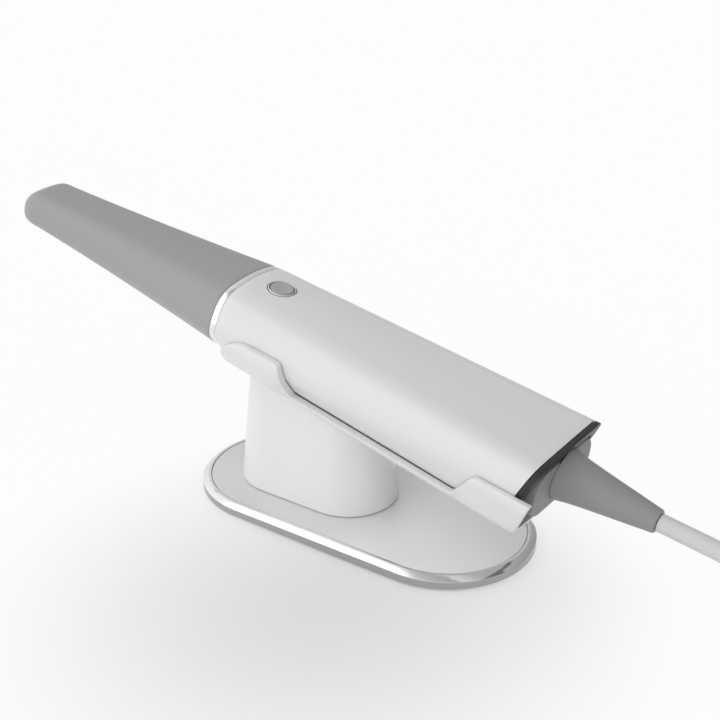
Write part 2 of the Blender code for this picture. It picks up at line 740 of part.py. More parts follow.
def build_optics():
    """Build the chassis, the camera and projector modules, their lenses and the main board."""
    top = CHASSIS_FLOOR + CHASSIS_HEIGHT
    centre = (CHASSIS_FRONT + CHASSIS_REAR) / 2.0
    chassis = box("optical_chassis", (CHASSIS_LENGTH, 2.0 * CHASSIS_HALF_WIDTH, CHASSIS_HEIGHT),
                  (centre, 0.0, CHASSIS_FLOOR + CHASSIS_HEIGHT / 2.0), SATIN, HANDPIECE)
    trough = box("chassis_trough",
                 (CHASSIS_LENGTH + 0.004, 2.0 * (CHASSIS_HALF_WIDTH - CHASSIS_WALL), CHASSIS_HEIGHT),
                 (centre, 0.0, CHASSIS_FLOOR + CHASSIS_WALL + CHASSIS_HEIGHT / 2.0),
                 parent=HANDPIECE, cutter=True)
    boolean(chassis, trough)
    floor = CHASSIS_FLOOR + CHASSIS_WALL + SEAT_GAP
    place = CHASSIS_FRONT - MODULE_FROM_CHASSIS_FRONT
    offset = MODULE_WIDTH / 2.0 + 2.0 * SEAT_GAP
    for side, word in ((-1.0, "projector"), (1.0, "camera")):
        box(f"{word}_module", (MODULE_LENGTH, MODULE_WIDTH, MODULE_HEIGHT),
            (place, side * offset, floor + MODULE_HEIGHT / 2.0), BLACK, HANDPIECE, bevel=0.0004)
        lens = turned(f"{word}_lens", [
            (0.0, LENS_LENGTH - 0.0012), (LENS_RADIUS - 0.0008, LENS_LENGTH - 0.0008),
            (LENS_RADIUS - 0.0006, LENS_LENGTH), (LENS_RADIUS, LENS_LENGTH),
            (LENS_RADIUS, 0.0), (0.0, 0.0),
        ], BLACK, HANDPIECE, steps=28)
        front = place + MODULE_LENGTH / 2.0 + SEAT_GAP
        lay_forward(lens, (front, side * offset, floor + MODULE_HEIGHT / 2.0))
    board_centre = CHASSIS_REAR + MAIN_BOARD_LENGTH / 2.0
    box("main_board", (MAIN_BOARD_LENGTH, 2.0 * CHASSIS_HALF_WIDTH - 0.001, BOARD_THICKNESS),
        (board_centre, 0.0, top + SEAT_GAP + BOARD_THICKNESS / 2.0), BOARD, HANDPIECE)


def build_rear_end():
    """Build the dark rear ring, the rear cap and the strain relief."""
    ring_front = BODY_REAR - SEAT_GAP
    ring_rear = ring_front - RING_WIDTH
    spigot_inset = BODY_WALL + SEAT_GAP

    def raked(place, inset):
        return [(place - BODY_RAKE * z, y, z) for y, z in section(BODY_REAR, inset)]

    hollow_loft("rear_ring", DARK, [raked(ring_rear, 0.0), raked(ring_front, 0.0)],
                [raked(ring_rear - 0.001, BODY_WALL), raked(ring_front + 0.001, BODY_WALL)])
    end = BODY_REAR + CAP_SPIGOT
    rake = body_rake(end)

    def upright(place, inset):
        return [(place, y, z) for y, z in section(BODY_REAR, inset)]

    wall = BODY_WALL
    cap = hollow_loft("rear_cap", CABLE_GREY, [
        upright(CAP_FACE, CAP_INSET), raked(ring_rear, CAP_INSET - CAP_DRAFT),
        raked(ring_rear, spigot_inset), ring_at(end, spigot_inset, rake),
    ], [upright(CAP_FACE + wall, CAP_INSET + wall), ring_at(end + 0.001, spigot_inset + wall, rake)])
    hole = turned("relief_hole", [
        (0.0, 0.02), (RELIEF_SPIGOT_RADIUS + SEAT_GAP, 0.02),
        (RELIEF_SPIGOT_RADIUS + SEAT_GAP, -0.02), (0.0, -0.02),
    ], parent=HANDPIECE, steps=28, cutter=True)
    lay_forward(hole, (CAP_FACE, 0.0, 0.0))
    boolean(cap, hole)
    root = CAP_FACE - SEAT_GAP
    taper = [(RELIEF_END_RADIUS - 0.0004, 0.0), (RELIEF_END_RADIUS, 0.0004)]
    for share in (0.2, 0.4, 0.6, 0.75, 0.85, 0.92, 0.97, 1.0):
        radius = blend(RELIEF_END_RADIUS, RELIEF_CONE_RADIUS, share)
        taper.append((radius + (RELIEF_ROOT_RADIUS - RELIEF_CONE_RADIUS) * share ** 9, root * share))
    profile = [(0.0, root + RELIEF_SPIGOT_LENGTH),
               (RELIEF_SPIGOT_RADIUS, root + RELIEF_SPIGOT_LENGTH),
               (RELIEF_SPIGOT_RADIUS, root)]
    profile += taper[::-1]
    profile.append((0.0, 0.0))
    relief = turned("strain_relief", profile, CABLE_GREY, HANDPIECE)
    lay_forward(relief, (0.0, 0.0, 0.0))


def ease(share):
    """Return a smooth step from 0 to 1."""
    share = min(1.0, max(0.0, share))
    return share * share * (3.0 - 2.0 * share)


def cradle_level(forward):
    """Return the height of the cradle's edge: two ears with a low edge between them."""
    rear_end = CRADLE_REAR + REAR_EAR_LENGTH
    front_start = CRADLE_FRONT - FRONT_EAR_LENGTH
    share = (forward - rear_end) / (front_start - rear_end)
    low = blend(RIM_REAR_LEVEL, RIM_FRONT_LEVEL, min(1.0, max(0.0, share)))
    rear = ease((rear_end + EAR_SLOPE_LENGTH - forward) / EAR_SLOPE_LENGTH)
    front = ease((forward - front_start + EAR_SLOPE_LENGTH) / EAR_SLOPE_LENGTH)
    level = blend(low, REAR_EAR_LEVEL, rear)
    level = blend(level, FRONT_EAR_LEVEL, front)
    into_corner = max(0.0, forward - (CRADLE_FRONT - EAR_CORNER)) / EAR_CORNER
    drop = EAR_CORNER * (1.0 - math.sqrt(max(0.0, 1.0 - min(1.0, into_corner) ** 2)))
    return level - drop


def cradle_places():
    """Return the cradle's stations, closer together where its edge rises."""
    rear_end = CRADLE_REAR + REAR_EAR_LENGTH
    front_start = CRADLE_FRONT - FRONT_EAR_LENGTH
    places = stations(CRADLE_REAR, rear_end, 4)
    places += stations(rear_end, rear_end + EAR_SLOPE_LENGTH, 6)[1:]
    places += stations(rear_end + EAR_SLOPE_LENGTH, front_start - EAR_SLOPE_LENGTH, 4)[1:]
    places += stations(front_start - EAR_SLOPE_LENGTH, front_start, 7)[1:]
    places += stations(front_start, CRADLE_FRONT - EAR_CORNER, 4)[1:]
    places += [CRADLE_FRONT - EAR_CORNER * (1.0 - math.sin(math.radians(angle)))
               for angle in (25.0, 45.0, 62.0, 76.0, 88.0)]
    return places


def cradle_section(forward, inset):
    """Return the body section that the cradle follows, also beyond the body's two ends."""
    return section(min(max(forward, BODY_REAR), BODY_FRONT), inset)


def cradle_rake(forward):
    """Return how far a station of the cradle leans, a little less than the body at its rear end."""
    return body_rake(max(forward, BODY_REAR)) * CRADLE_RAKE / BODY_RAKE


def build_cradle():
    """Build the cradle, a trough that follows the body and rises to an ear at each end."""
    rings = []
    for place in cradle_places():
        level = cradle_level(place)
        inner = spread(cut_outline(cradle_section(place, -CRADLE_GAP), level, False), SHELL_POINTS)
        outer = spread(cut_outline(cradle_section(place, -CRADLE_GAP - CRADLE_WALL), level, False),
                       SHELL_POINTS)
        loop = outer + inner[::-1]
        rake = cradle_rake(place)
        rings.append([(place - rake * z, y, z) for y, z in loop])
    return loft("cradle", rings, WHITE, HANDPIECE)


def cradle_block(name, extra):
    """Build a solid of the cradle's outside, grown by a distance, for cutting the column."""
    rings = []
    for place in stations(CRADLE_REAR - 0.002, CRADLE_FRONT + 0.004, 8):
        loop = cradle_section(place, -CRADLE_GAP - CRADLE_WALL - extra)
        rake = cradle_rake(place)
        rings.append([(place - rake * z, y, z) for y, z in loop])
    return loft(name, rings, parent=HANDPIECE, cutter=True)


def column_ring(height, inset):
    """Return the column's outline at a height, moved inwards by an inset."""
    shrink = 2.0 * (math.tan(COLUMN_DRAFT) * (height - BASE_HEIGHT) + inset)
    return stadium(COLUMN_LENGTH - shrink, COLUMN_WIDTH - shrink, height, COLUMN_OFFSET)


def stand_screw_places():
    """Return the place and the name of each screw that holds the column to the base."""
    return [((COLUMN_OFFSET + side * STAND_SCREW_HALF_SPACING, 0.0, 0.0), word)
            for side, word in ((-1.0, "front"), (1.0, "rear"))]


def build_column():
    """Build the hollow column, its top shaped to the cradle's underside."""
    foot = BASE_HEIGHT + SEAT_GAP
    column = loft("column", [column_ring(foot, 0.0), column_ring(COLUMN_REACH, 0.0)], WHITE)
    core = loft("column_core", [column_ring(foot - 0.002, COLUMN_WALL),
                                column_ring(COLUMN_REACH, COLUMN_WALL)], cutter=True)
    boolean(core, cradle_block("deck_block", SEAT_GAP + COLUMN_WALL))
    boolean(column, core)
    bore = STAND_SCREW_SHANK_RADIUS + SEAT_GAP
    bore_top = STAND_SCREW_LENGTH + 0.0060
    post_top = COLUMN_REACH - 0.0080
    for place, word in stand_screw_places():
        post = turned(f"column_post_{word}", [
            (0.0, post_top), (STAND_BOSS_RADIUS, post_top), (STAND_BOSS_RADIUS, foot + SEAT_GAP),
            (bore, foot + SEAT_GAP), (bore, bore_top), (0.0, bore_top),
        ], steps=24, cutter=True)
        post.location = place
        boolean(column, post, "UNION")
    boolean(column, cradle_block("cradle_seat", SEAT_GAP))
    return column


def plate(name, length, width, low, thickness, look, cutter=False):
    """Build a flat race-track plate from a filled 2D curve."""
    curve = bpy.data.curves.new(name, "CURVE")
    curve.dimensions = "2D"
    curve.fill_mode = "BOTH"
    curve.extrude = thickness / 2.0
    spline = curve.splines.new("POLY")
    points = stadium(length, width, 0.0)
    spline.points.add(len(points) - 1)
    for target, point in zip(spline.points, points):
        target.co = (*point, 1.0)
    spline.use_cyclic_u = True
    holder = bpy.data.objects.new(f"{name}_curve", curve)
    PARTS.objects.link(holder)
    bpy.context.view_layer.update()
    graph = bpy.context.evaluated_depsgraph_get()
    mesh = bpy.data.meshes.new_from_object(holder.evaluated_get(graph))
    mesh.name = name
    bpy.data.objects.remove(holder, do_unlink=True)
    work = bmesh.new()
    work.from_mesh(mesh)
    bmesh.ops.remove_doubles(work, verts=work.verts, dist=0.00001)
    bmesh.ops.dissolve_limit(work, angle_limit=math.radians(0.5), verts=work.verts, edges=work.edges)
    item = add_object(name, mesh_from(name, work), look, cutter=cutter)
    item.location = (0.0, 0.0, low + thickness / 2.0)
    return item


def build_base():
    """Build the chrome rim, the satin top panel, the steel weight, the foot pad and the screws."""
    pad_top = FOOT_PAD_THICKNESS
    rim = loft("base_rim", [
        stadium(BASE_LENGTH, BASE_WIDTH, FOOT_PAD_RECESS),
        stadium(BASE_LENGTH, BASE_WIDTH, RIM_EDGE_HEIGHT),
        stadium(BASE_LENGTH - 2.0 * RIM_CHAMFER, BASE_WIDTH - 2.0 * RIM_CHAMFER, BASE_HEIGHT),
    ], CHROME)
    inner = 2.0 * RIM_WIDTH
    well = plate("rim_well", BASE_LENGTH - inner, BASE_WIDTH - inner, -0.001, BASE_HEIGHT + 0.002, None, True)
    boolean(rim, well)
    panel_edge = 2.0 * (RIM_CHAMFER + 0.0008)
    pocket = plate("panel_pocket", BASE_LENGTH - panel_edge, BASE_WIDTH - panel_edge,
                   BASE_HEIGHT - PANEL_THICKNESS - SEAT_GAP, 0.004, None, True)
    boolean(rim, pocket)
    pad_edge = 2.0 * FOOT_PAD_MARGIN
    sole = plate("pad_pocket", BASE_LENGTH - pad_edge, BASE_WIDTH - pad_edge, -0.001,
                 pad_top + SEAT_GAP + 0.001, None, True)
    boolean(rim, sole)
    gap = 2.0 * SEAT_GAP
    panel = plate("base_panel", BASE_LENGTH - panel_edge - gap, BASE_WIDTH - panel_edge - gap,
                  BASE_HEIGHT - PANEL_THICKNESS, PANEL_THICKNESS, SATIN)
    weight_low = pad_top + SEAT_GAP
    weight_high = BASE_HEIGHT - PANEL_THICKNESS - SEAT_GAP
    weight = plate("base_weight", BASE_LENGTH - inner - gap, BASE_WIDTH - inner - gap, weight_low,
                   weight_high - weight_low, STEEL)
    pad = plate("foot_pad", BASE_LENGTH - pad_edge - gap, BASE_WIDTH - pad_edge - gap, 0.0,
                FOOT_PAD_THICKNESS, RUBBER)
    for place, word in stand_screw_places():
        bore = cylinder_cutter(f"base_bore_{word}", STAND_SCREW_SHANK_RADIUS + SEAT_GAP, -0.002, 0.009,
                               place, None, 16)
        boolean(weight, bore)
        boolean(panel, bore)
        sink = cylinder_cutter(f"base_sink_{word}", STAND_SCREW_HEAD_RADIUS + SEAT_GAP, -0.002,
                               weight_low + STAND_SCREW_HEAD_HEIGHT + SEAT_GAP, place, None, 20)
        boolean(weight, sink)
        boolean(pad, sink)
        item = screw(f"column_screw_{word}", STAND_SCREW_HEAD_RADIUS, STAND_SCREW_HEAD_HEIGHT,
                     STAND_SCREW_SHANK_RADIUS, STAND_SCREW_LENGTH, None)
        item.location = (place[0], place[1], weight_low + STAND_SCREW_HEAD_HEIGHT)


def smooth_route(points, spacing):
    """Return points along a smooth curve through a route, a spacing apart."""
    route = [Vector(point) for point in points]
    padded = [route[0] * 2.0 - route[1], *route, route[-1] * 2.0 - route[-2]]
    fine = []
    for here in range(1, len(padded) - 2):
        before, first, second, after = padded[here - 1:here + 3]
        for step in range(12):
            share = step / 12.0
            fine.append(0.5 * (2.0 * first + (second - before) * share
                               + (2.0 * before - 5.0 * first + 4.0 * second - after) * share ** 2
                               + (3.0 * first - before - 3.0 * second + after) * share ** 3))
    fine.append(route[-1])
    total = sum((second - first).length for first, second in zip(fine, fine[1:]))
    count = max(2, round(total / spacing) + 1)
    even = [fine[0]]
    wanted = total / (count - 1)
    travelled = 0.0
    for first, second in zip(fine, fine[1:]):
        length = (second - first).length
        while travelled + length >= wanted * len(even) and len(even) < count - 1:
            even.append(first.lerp(second, (wanted * len(even) - travelled) / length))
        travelled += length
    even.append(fine[-1])
    return even


def tube(name, points):
    """Build a round tube through points, its ends closed."""
    curve = bpy.data.curves.new(name, "CURVE")
    curve.dimensions = "3D"
    curve.bevel_depth = CABLE_RADIUS
    curve.bevel_resolution = 3
    curve.use_fill_caps = True
    spline = curve.splines.new("POLY")
    spline.points.add(len(points) - 1)
    for target, point in zip(spline.points, points):
        target.co = (*point, 1.0)
    curve.materials.append(CABLE)
    item = bpy.data.objects.new(name, curve)
    PARTS.objects.link(item)
    return item


def build_cable():
    """Build the cable's free run, its coil and tie, and its tail with the plug."""
    tube("cable_run", smooth_route(CABLE_ROUTE, 4.0 * CABLE_RADIUS))
    edge = COIL_ROUNDING
    coil = turned("cable_coil", [
        (COIL_INNER_RADIUS + edge, COIL_HEIGHT), (COIL_OUTER_RADIUS - edge, COIL_HEIGHT),
        (COIL_OUTER_RADIUS, COIL_HEIGHT - edge), (COIL_OUTER_RADIUS, edge),
        (COIL_OUTER_RADIUS - edge, 0.0), (COIL_INNER_RADIUS + edge, 0.0),
        (COIL_INNER_RADIUS, edge), (COIL_INNER_RADIUS, COIL_HEIGHT - edge),
    ], CABLE, hollow=True)
    coil.location = (*COIL_CENTRE, COIL_LIFT)
    middle = (COIL_INNER_RADIUS + COIL_OUTER_RADIUS) / 2.0
    opening = COIL_OUTER_RADIUS - COIL_INNER_RADIUS + 4.0 * SEAT_GAP
    tie_place = (COIL_CENTRE[0] + middle * math.cos(TIE_ANGLE),
                 COIL_CENTRE[1] + middle * math.sin(TIE_ANGLE), COIL_LIFT + COIL_HEIGHT / 2.0)
    wall = 2.0 * TIE_THICKNESS
    tall = COIL_HEIGHT + 2.0 * SEAT_GAP
    tie = box("cable_tie", (opening + wall, TIE_WIDTH, tall + wall), tie_place, RUBBER)
    hole = box("tie_opening", (opening, TIE_WIDTH + 0.002, tall), tie_place, cutter=True)
    tie.rotation_euler = (0.0, 0.0, TIE_ANGLE)
    hole.rotation_euler = (0.0, 0.0, TIE_ANGLE)
    boolean(tie, hole)
    build_tail()


def build_tail():
    """Build the cable's tail and its plug, which lie on the coil."""
    top = COIL_LIFT + COIL_HEIGHT + SEAT_GAP
    height = top + CABLE_RADIUS
    bend_centre = Vector(COIL_CENTRE) + (TAIL_START_RADIUS - TAIL_BEND) * Vector(
        (math.cos(TAIL_START), math.sin(TAIL_START)))
    line = []
    for step in range(10):
        angle = TAIL_START + math.pi / 2.0 * step / 9.0
        line.append((bend_centre.x + TAIL_BEND * math.cos(angle),
                     bend_centre.y + TAIL_BEND * math.sin(angle), height))
    heading = TAIL_START + math.pi
    ahead = Vector((math.cos(heading), math.sin(heading)))
    end = Vector(line[-1][:2]) + ahead * TAIL_LENGTH
    line.append((end.x, end.y, height))
    tube("cable_tail", line)
    height = top + PLUG_HEIGHT / 2.0

    def along(distance, rise=0.0):
        place = end + ahead * distance
        return (place.x, place.y, height + rise)

    middle = SEAT_GAP + PLUG_LENGTH / 2.0
    body = box("plug_body", (PLUG_LENGTH, PLUG_WIDTH, PLUG_HEIGHT), along(middle), WHITE, bevel=0.0012)
    middle += PLUG_LENGTH / 2.0 + SEAT_GAP + PLUG_SHELL_LENGTH / 2.0
    shell = box("plug_shell", (PLUG_SHELL_LENGTH, PLUG_SHELL_WIDTH, PLUG_SHELL_HEIGHT), along(middle), STEEL)
    mouth = box("plug_mouth", (PLUG_SHELL_LENGTH, PLUG_SHELL_WIDTH - 2.0 * PLUG_SHELL_WALL,
                               PLUG_SHELL_HEIGHT / 2.0 - PLUG_SHELL_WALL),
                along(middle + 0.0015, PLUG_SHELL_HEIGHT / 4.0), cutter=True)
    for item in (body, shell, mouth):
        item.rotation_euler = (0.0, 0.0, heading)
    boolean(shell, mouth)


def main():
    """Build every piece of the scanner and its stand."""
    frame = button_empty()
    build_upper_shell(frame)
    build_lower_shell()
    build_shell_screws()
    build_button(frame)
    build_barrel()
    build_tip()
    build_optics()
    build_rear_end()
    build_cradle()
    build_column()
    build_base()
    build_cable()


main()
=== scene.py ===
"""Intraoral scanner in its desk cradle: the looks of every piece, the cable, the lights and the camera."""

import logging
import math
from dataclasses import dataclass
from enum import Enum
from typing import Sequence

import bmesh
import bpy
import numpy as np
from mathutils import Euler, Matrix, Vector


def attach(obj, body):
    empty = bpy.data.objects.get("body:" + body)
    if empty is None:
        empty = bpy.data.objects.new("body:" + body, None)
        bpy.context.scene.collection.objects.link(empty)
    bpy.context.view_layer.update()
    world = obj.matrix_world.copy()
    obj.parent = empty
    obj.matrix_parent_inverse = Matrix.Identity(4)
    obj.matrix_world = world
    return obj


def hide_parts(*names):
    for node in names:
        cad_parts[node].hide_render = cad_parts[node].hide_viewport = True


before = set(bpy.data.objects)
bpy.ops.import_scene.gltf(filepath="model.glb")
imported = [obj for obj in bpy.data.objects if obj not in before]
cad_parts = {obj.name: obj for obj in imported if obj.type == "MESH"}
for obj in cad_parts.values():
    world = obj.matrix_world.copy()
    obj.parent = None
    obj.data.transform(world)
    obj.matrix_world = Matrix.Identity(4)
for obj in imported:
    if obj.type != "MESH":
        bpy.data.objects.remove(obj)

LOG = logging.getLogger("intraoral_scanner")
Flat = tuple[float, float]
Point = tuple[float, float, float]
Ends = tuple[Point, Point]
Mesh = bpy.types.Mesh
Material = bpy.types.Material
Node = bpy.types.Node
Socket = bpy.types.NodeSocket

SEAT_GAP = 0.0003
REAR_X = 0.1089
REAR_Z = 0.0337
INCLINE = math.radians(10.3)
HANDPIECE = Matrix.Translation((REAR_X, 0.0, REAR_Z)) @ Euler((0.0, -INCLINE, math.pi)).to_matrix().to_4x4()
WORLD = Matrix.Identity(4)
QUARTER = math.pi / 2.0
LONGEST_ROUNDING = 0.48
WALL_POINTS = 84
LIP_POINTS = 4
WALL_FOLD = 2 * (WALL_POINTS + LIP_POINTS) - 1
NOISE_SPAN = (0.3, 0.7)


class Body(Enum):
    """The bodies of the frame that pieces ride on."""

    STAND = "stand"
    TIP = "tip"
    BUTTON = "button"


class Half(Enum):
    """Which part of an outline is kept by a level cut."""

    UPPER = 1.0
    LOWER = -1.0


# Outlines

def blend(start: float, end: float, share: float) -> float:
    """Return the value between two values."""
    return start + (end - start) * share


def blend_all(start: Sequence[float], end: Sequence[float], share: float) -> tuple[float, ...]:
    """Return the values between two rows of values."""
    return tuple(blend(low, high, share) for low, high in zip(start, end))


def clamped(share: float) -> float:
    """Return a share kept from 0 to 1."""
    return min(1.0, max(0.0, share))


def ease(share: float) -> float:
    """Return a smooth step from 0 to 1."""
    share = clamped(share)
    return share * share * (3.0 - 2.0 * share)


def neighbours(corners: Sequence[Point], here: int) -> tuple[Vector, Vector, Vector]:
    """Return the corner before a corner, the corner itself and the one after it."""
    around = (here - 1, here, (here + 1) % len(corners))
    return tuple(Vector(corners[place][:2]) for place in around)


def offset_corners(corners: Sequence[Point], distance: float) -> list[Point]:
    """Move every side of a convex outline inwards by a distance.

    Args:
        corners: (y, z, reach) of each corner, counterclockwise.
        distance: how far inwards, negative for outwards.

    Returns:
        The corners of the moved outline.
    """
    moved = []
    for here, (_, _, reach) in enumerate(corners):
        before, corner, after = neighbours(corners, here)
        first = (corner - before).normalized()
        second = (after - corner).normalized()
        first_inward = Vector((-first.y, first.x))
        second_inward = Vector((-second.y, second.x))
        turn = 1.0 + first_inward.dot(second_inward)
        point = corner + (first_inward + second_inward) * (distance / turn)
        moved.append((point.x, point.y, reach))
    return moved


def rounded(corners: Sequence[Point], steps: int = 14) -> list[Flat]:
    """Round each corner of an outline.

    Args:
        corners: (y, z, reach) of each corner, reach being how far its rounding runs.
        steps: how many pieces each rounding has.

    Returns:
        The points of the rounded outline.
    """
    points = []
    for here, (_, _, reach) in enumerate(corners):
        before, corner, after = neighbours(corners, here)
        sides = (before - corner, after - corner)
        start, end = (corner + side.normalized() * min(reach, LONGEST_ROUNDING * side.length)
                      for side in sides)
        for step in range(steps + 1):
            share = step / steps
            point = start.lerp(corner, share).lerp(corner.lerp(end, share), share)
            points.append((point.x, point.y))
    return points


def many_cornered(size: Point, chine: Point, side: Flat, shoulder: Point, ridges: Flat) -> list[Point]:
    """Return the corners of an outline whose left half mirrors its right, counterclockwise from its keel.

    Args:
        size: how far it goes up, to each side and down.
        chine: (share of the half width, share of the depth, reach) of the lower corner.
        side: (height, reach) of the widest corner.
        shoulder: (share of the half width, share of the height, reach) of the upper corner.
        ridges: the reach at the keel and at the crown.

    Returns:
        (y, z, reach) of each corner.
    """
    top, half, bottom = size
    right = [(chine[0] * half, -chine[1] * bottom, chine[2]), (half, *side),
             (shoulder[0] * half, shoulder[1] * top, shoulder[2])]
    left = [(-y, z, reach) for y, z, reach in reversed(right)]
    return [(0.0, -bottom, ridges[0]), *right, (0.0, top, ridges[1]), *left]


def spread(points: Sequence[Flat], count: int) -> list[Flat]:
    """Return count points spread evenly along an open line.

    Args:
        points: the points of the line.
        count: how many points are wanted.

    Returns:
        The evenly spread points.
    """
    line = np.array(points)
    lengths = np.concatenate([[0.0], np.cumsum(np.linalg.norm(np.diff(line, axis=0), axis=1))])
    wanted = np.linspace(0.0, lengths[-1], count)
    return list(zip(np.interp(wanted, lengths, line[:, 0]), np.interp(wanted, lengths, line[:, 1])))


def cut_outline(outline: Sequence[Flat], level: float, half: Half) -> list[Flat]:
    """Return the part of an outline above or below a level, as an open line.

    Args:
        outline: the points of a closed outline, counterclockwise.
        level: the height of the cut.
        half: the part that is kept.

    Returns:
        The kept points, with one on the level at each end.
    """
    sign = half.value
    count = len(outline)
    start = next(i for i in range(count)
                 if sign * (outline[i - 1][1] - level) <= 0.0 < sign * (outline[i][1] - level))
    kept = []
    for step in range(count + 1):
        before = outline[(start + step - 1) % count]
        here = outline[(start + step) % count]
        inside = sign * (here[1] - level) > 0.0
        if step == 0 or not inside:
            share = (level - before[1]) / (here[1] - before[1])
            kept.append((blend(before[0], here[0], share), level))
        if not inside:
            break
        kept.append(here)
    return kept


def lip_arc(edge: Flat, towards: float, radius: float, half: Half) -> list[Flat]:
    """Return the quarter arc that a wall's side turns by into its edge.

    Args:
        edge: the last point of the side.
        towards: where across the other side lies.
        radius: the radius of the arc.
        half: the half that the wall belongs to.

    Returns:
        The points of the arc after the side's last point.
    """
    across = math.copysign(radius, towards - edge[0])
    angles = [QUARTER * step / LIP_POINTS for step in range(1, LIP_POINTS + 1)]
    return [(edge[0] + across * (1.0 - math.cos(angle)), edge[1] - half.value * radius * math.sin(angle))
            for angle in angles]


def lipped_wall(outer: Sequence[Flat], inner: Sequence[Flat], level: float, half: Half,
                lip: float) -> list[Flat]:
    """Return the closed section of a wall that ends at a level in rounded lips.

    Args:
        outer: the outer outline.
        inner: the inner outline.
        level: the height of the wall's edge.
        half: the part of the outlines that is kept.
        lip: the radius of the edge's roundings.

    Returns:
        The loop: outer side, lips, inner side, lips.
    """
    start = level + half.value * lip
    outside = spread(cut_outline(outer, start, half), WALL_POINTS)
    inside = spread(cut_outline(inner, start, half), WALL_POINTS)
    loop = [*outside, *lip_arc(outside[-1], inside[-1][0], lip, half)]
    loop += lip_arc(inside[-1], outside[-1][0], lip, half)[::-1] + inside[::-1]
    loop += lip_arc(inside[0], outside[0][0], lip, half) + lip_arc(outside[0], inside[0][0], lip, half)[::-1]
    return loop


def leaned(loop: Sequence[Flat], place: float, rake: float = 0.0) -> list[Point]:
    """Return a section's points at a place, leaned by a rake."""
    return [(place - rake * z, y, z) for y, z in loop]


def stations(start: float, end: float, count: int) -> list[float]:
    """Return evenly spaced places from start to end."""
    return [blend(start, end, step / (count - 1)) for step in range(count)]


def eased_edge(radius: float, steps: int = 4) -> list[Flat]:
    """Return (distance from the end, inset) pairs of a rounded end edge, from the end inwards."""
    angles = [QUARTER * step / steps for step in range(steps + 1)]
    return [(radius * (1.0 - math.cos(angle)), radius * (1.0 - math.sin(angle))) for angle in angles]


def race_track(length: float, width: float, height: float, centre: float = 0.0,
               steps: int = 40) -> list[Point]:
    """Return the points of a race-track outline.

    Args:
        length: its length along X.
        width: its width along Y.
        height: where it lies along Z.
        centre: where its middle lies along X.
        steps: how many pieces each round end has.

    Returns:
        The points, counterclockwise.
    """
    radius = width / 2.0
    straight = length / 2.0 - radius
    points = []
    for side in (1.0, -1.0):
        for step in range(steps + 1):
            angle = math.pi * (step / steps - 0.5)
            x = centre + side * (straight + radius * math.cos(angle))
            points.append((x, side * radius * math.sin(angle), height))
    return points


# Meshes

def shaded(mesh: Mesh, sharp: float) -> Mesh:
    """Shade a mesh smooth between its sharp edges.

    Args:
        mesh: the mesh.
        sharp: the angle in degrees above which an edge is sharp.

    Returns:
        The same mesh.
    """
    mesh.shade_smooth()
    mesh.set_sharp_from_angle(angle=math.radians(sharp))
    return mesh


def finished_mesh(name: str, work: bmesh.types.BMesh, sharp: float = 35.0) -> Mesh:
    """Turn a bmesh into a mesh whose faces point out.

    Args:
        name: the name of the mesh.
        work: the bmesh, which is freed.
        sharp: the angle in degrees above which an edge is sharp.

    Returns:
        The mesh.
    """
    bmesh.ops.recalc_face_normals(work, faces=work.faces)
    if work.calc_volume(signed=True) < 0.0:
        bmesh.ops.reverse_faces(work, faces=work.faces)
    mesh = bpy.data.meshes.new(name)
    work.to_mesh(mesh)
    work.free()
    return shaded(mesh, sharp)


def join_rows(work: bmesh.types.BMesh, rows: Sequence[list[bmesh.types.BMVert]], closed: bool) -> None:
    """Make faces between rows of vertices that each go round; a row of one vertex is a tip.

    Args:
        work: the bmesh that the vertices are in.
        rows: the rows in order.
        closed: whether the last row joins the first.
    """
    pairs = list(zip(rows, rows[1:]))
    if closed:
        pairs.append((rows[-1], rows[0]))
    for low, high in pairs:
        count = max(len(low), len(high))
        for here in range(count):
            there = (here + 1) % count
            if len(low) == 1:
                work.faces.new((low[0], high[there], high[here]))
            elif len(high) == 1:
                work.faces.new((low[here], low[there], high[0]))
            else:
                work.faces.new((low[here], low[there], high[there], high[here]))


def skin(name: str, rings: Sequence[Sequence[Point]], closed: bool = False, sharp: float = 35.0,
         fold: int = 0) -> Mesh:
    """Build one closed mesh through rings of equal point count.

    Args:
        name: the name of the mesh.
        rings: the rings in order.
        closed: whether the last ring joins the first, and otherwise both ends are filled.
        sharp: the angle in degrees above which an edge is sharp.
        fold: for rings that fold back on themselves, the point that lies across from the first one.

    Returns:
        The mesh.
    """
    work = bmesh.new()
    rows = [[work.verts.new(point) for point in ring] for ring in rings]
    join_rows(work, rows, closed)
    for row in () if closed else (rows[0], rows[-1]):
        if fold:
            for here in range((fold + 1 - len(row)) // 2, (fold - 1) // 2):
                work.faces.new((row[here], row[here + 1], row[fold - 1 - here], row[fold - here]))
        else:
            bmesh.ops.triangulate(work, faces=[work.faces.new(row)])
    return finished_mesh(name, work, sharp)


def turned(name: str, profile: Sequence[Flat], steps: int = 96, hollow: bool = False) -> Mesh:
    """Turn a profile about Z.

    Args:
        name: the name of the mesh.
        profile: (radius, height) points down the outer side; a radius of 0 closes an end.
        steps: how many points go round.
        hollow: whether the profile is a closed line that doesn't touch the axis.

    Returns:
        The mesh.
    """
    work = bmesh.new()
    turns = [2.0 * math.pi * step / steps for step in range(steps)]
    rows = []
    for radius, height in profile:
        around = turns if radius else turns[:1]
        rows.append([work.verts.new((radius * math.cos(turn), radius * math.sin(turn), height))
                     for turn in around])
    join_rows(work, rows, hollow)
    return finished_mesh(name, work)


def drill(name: str, radius: float, above: float, below: float) -> Mesh:
    """Build the round bar that bores a hole, from a height above the origin to a depth below it."""
    return turned(name, [(0.0, above), (radius, above), (radius, -below), (0.0, -below)])


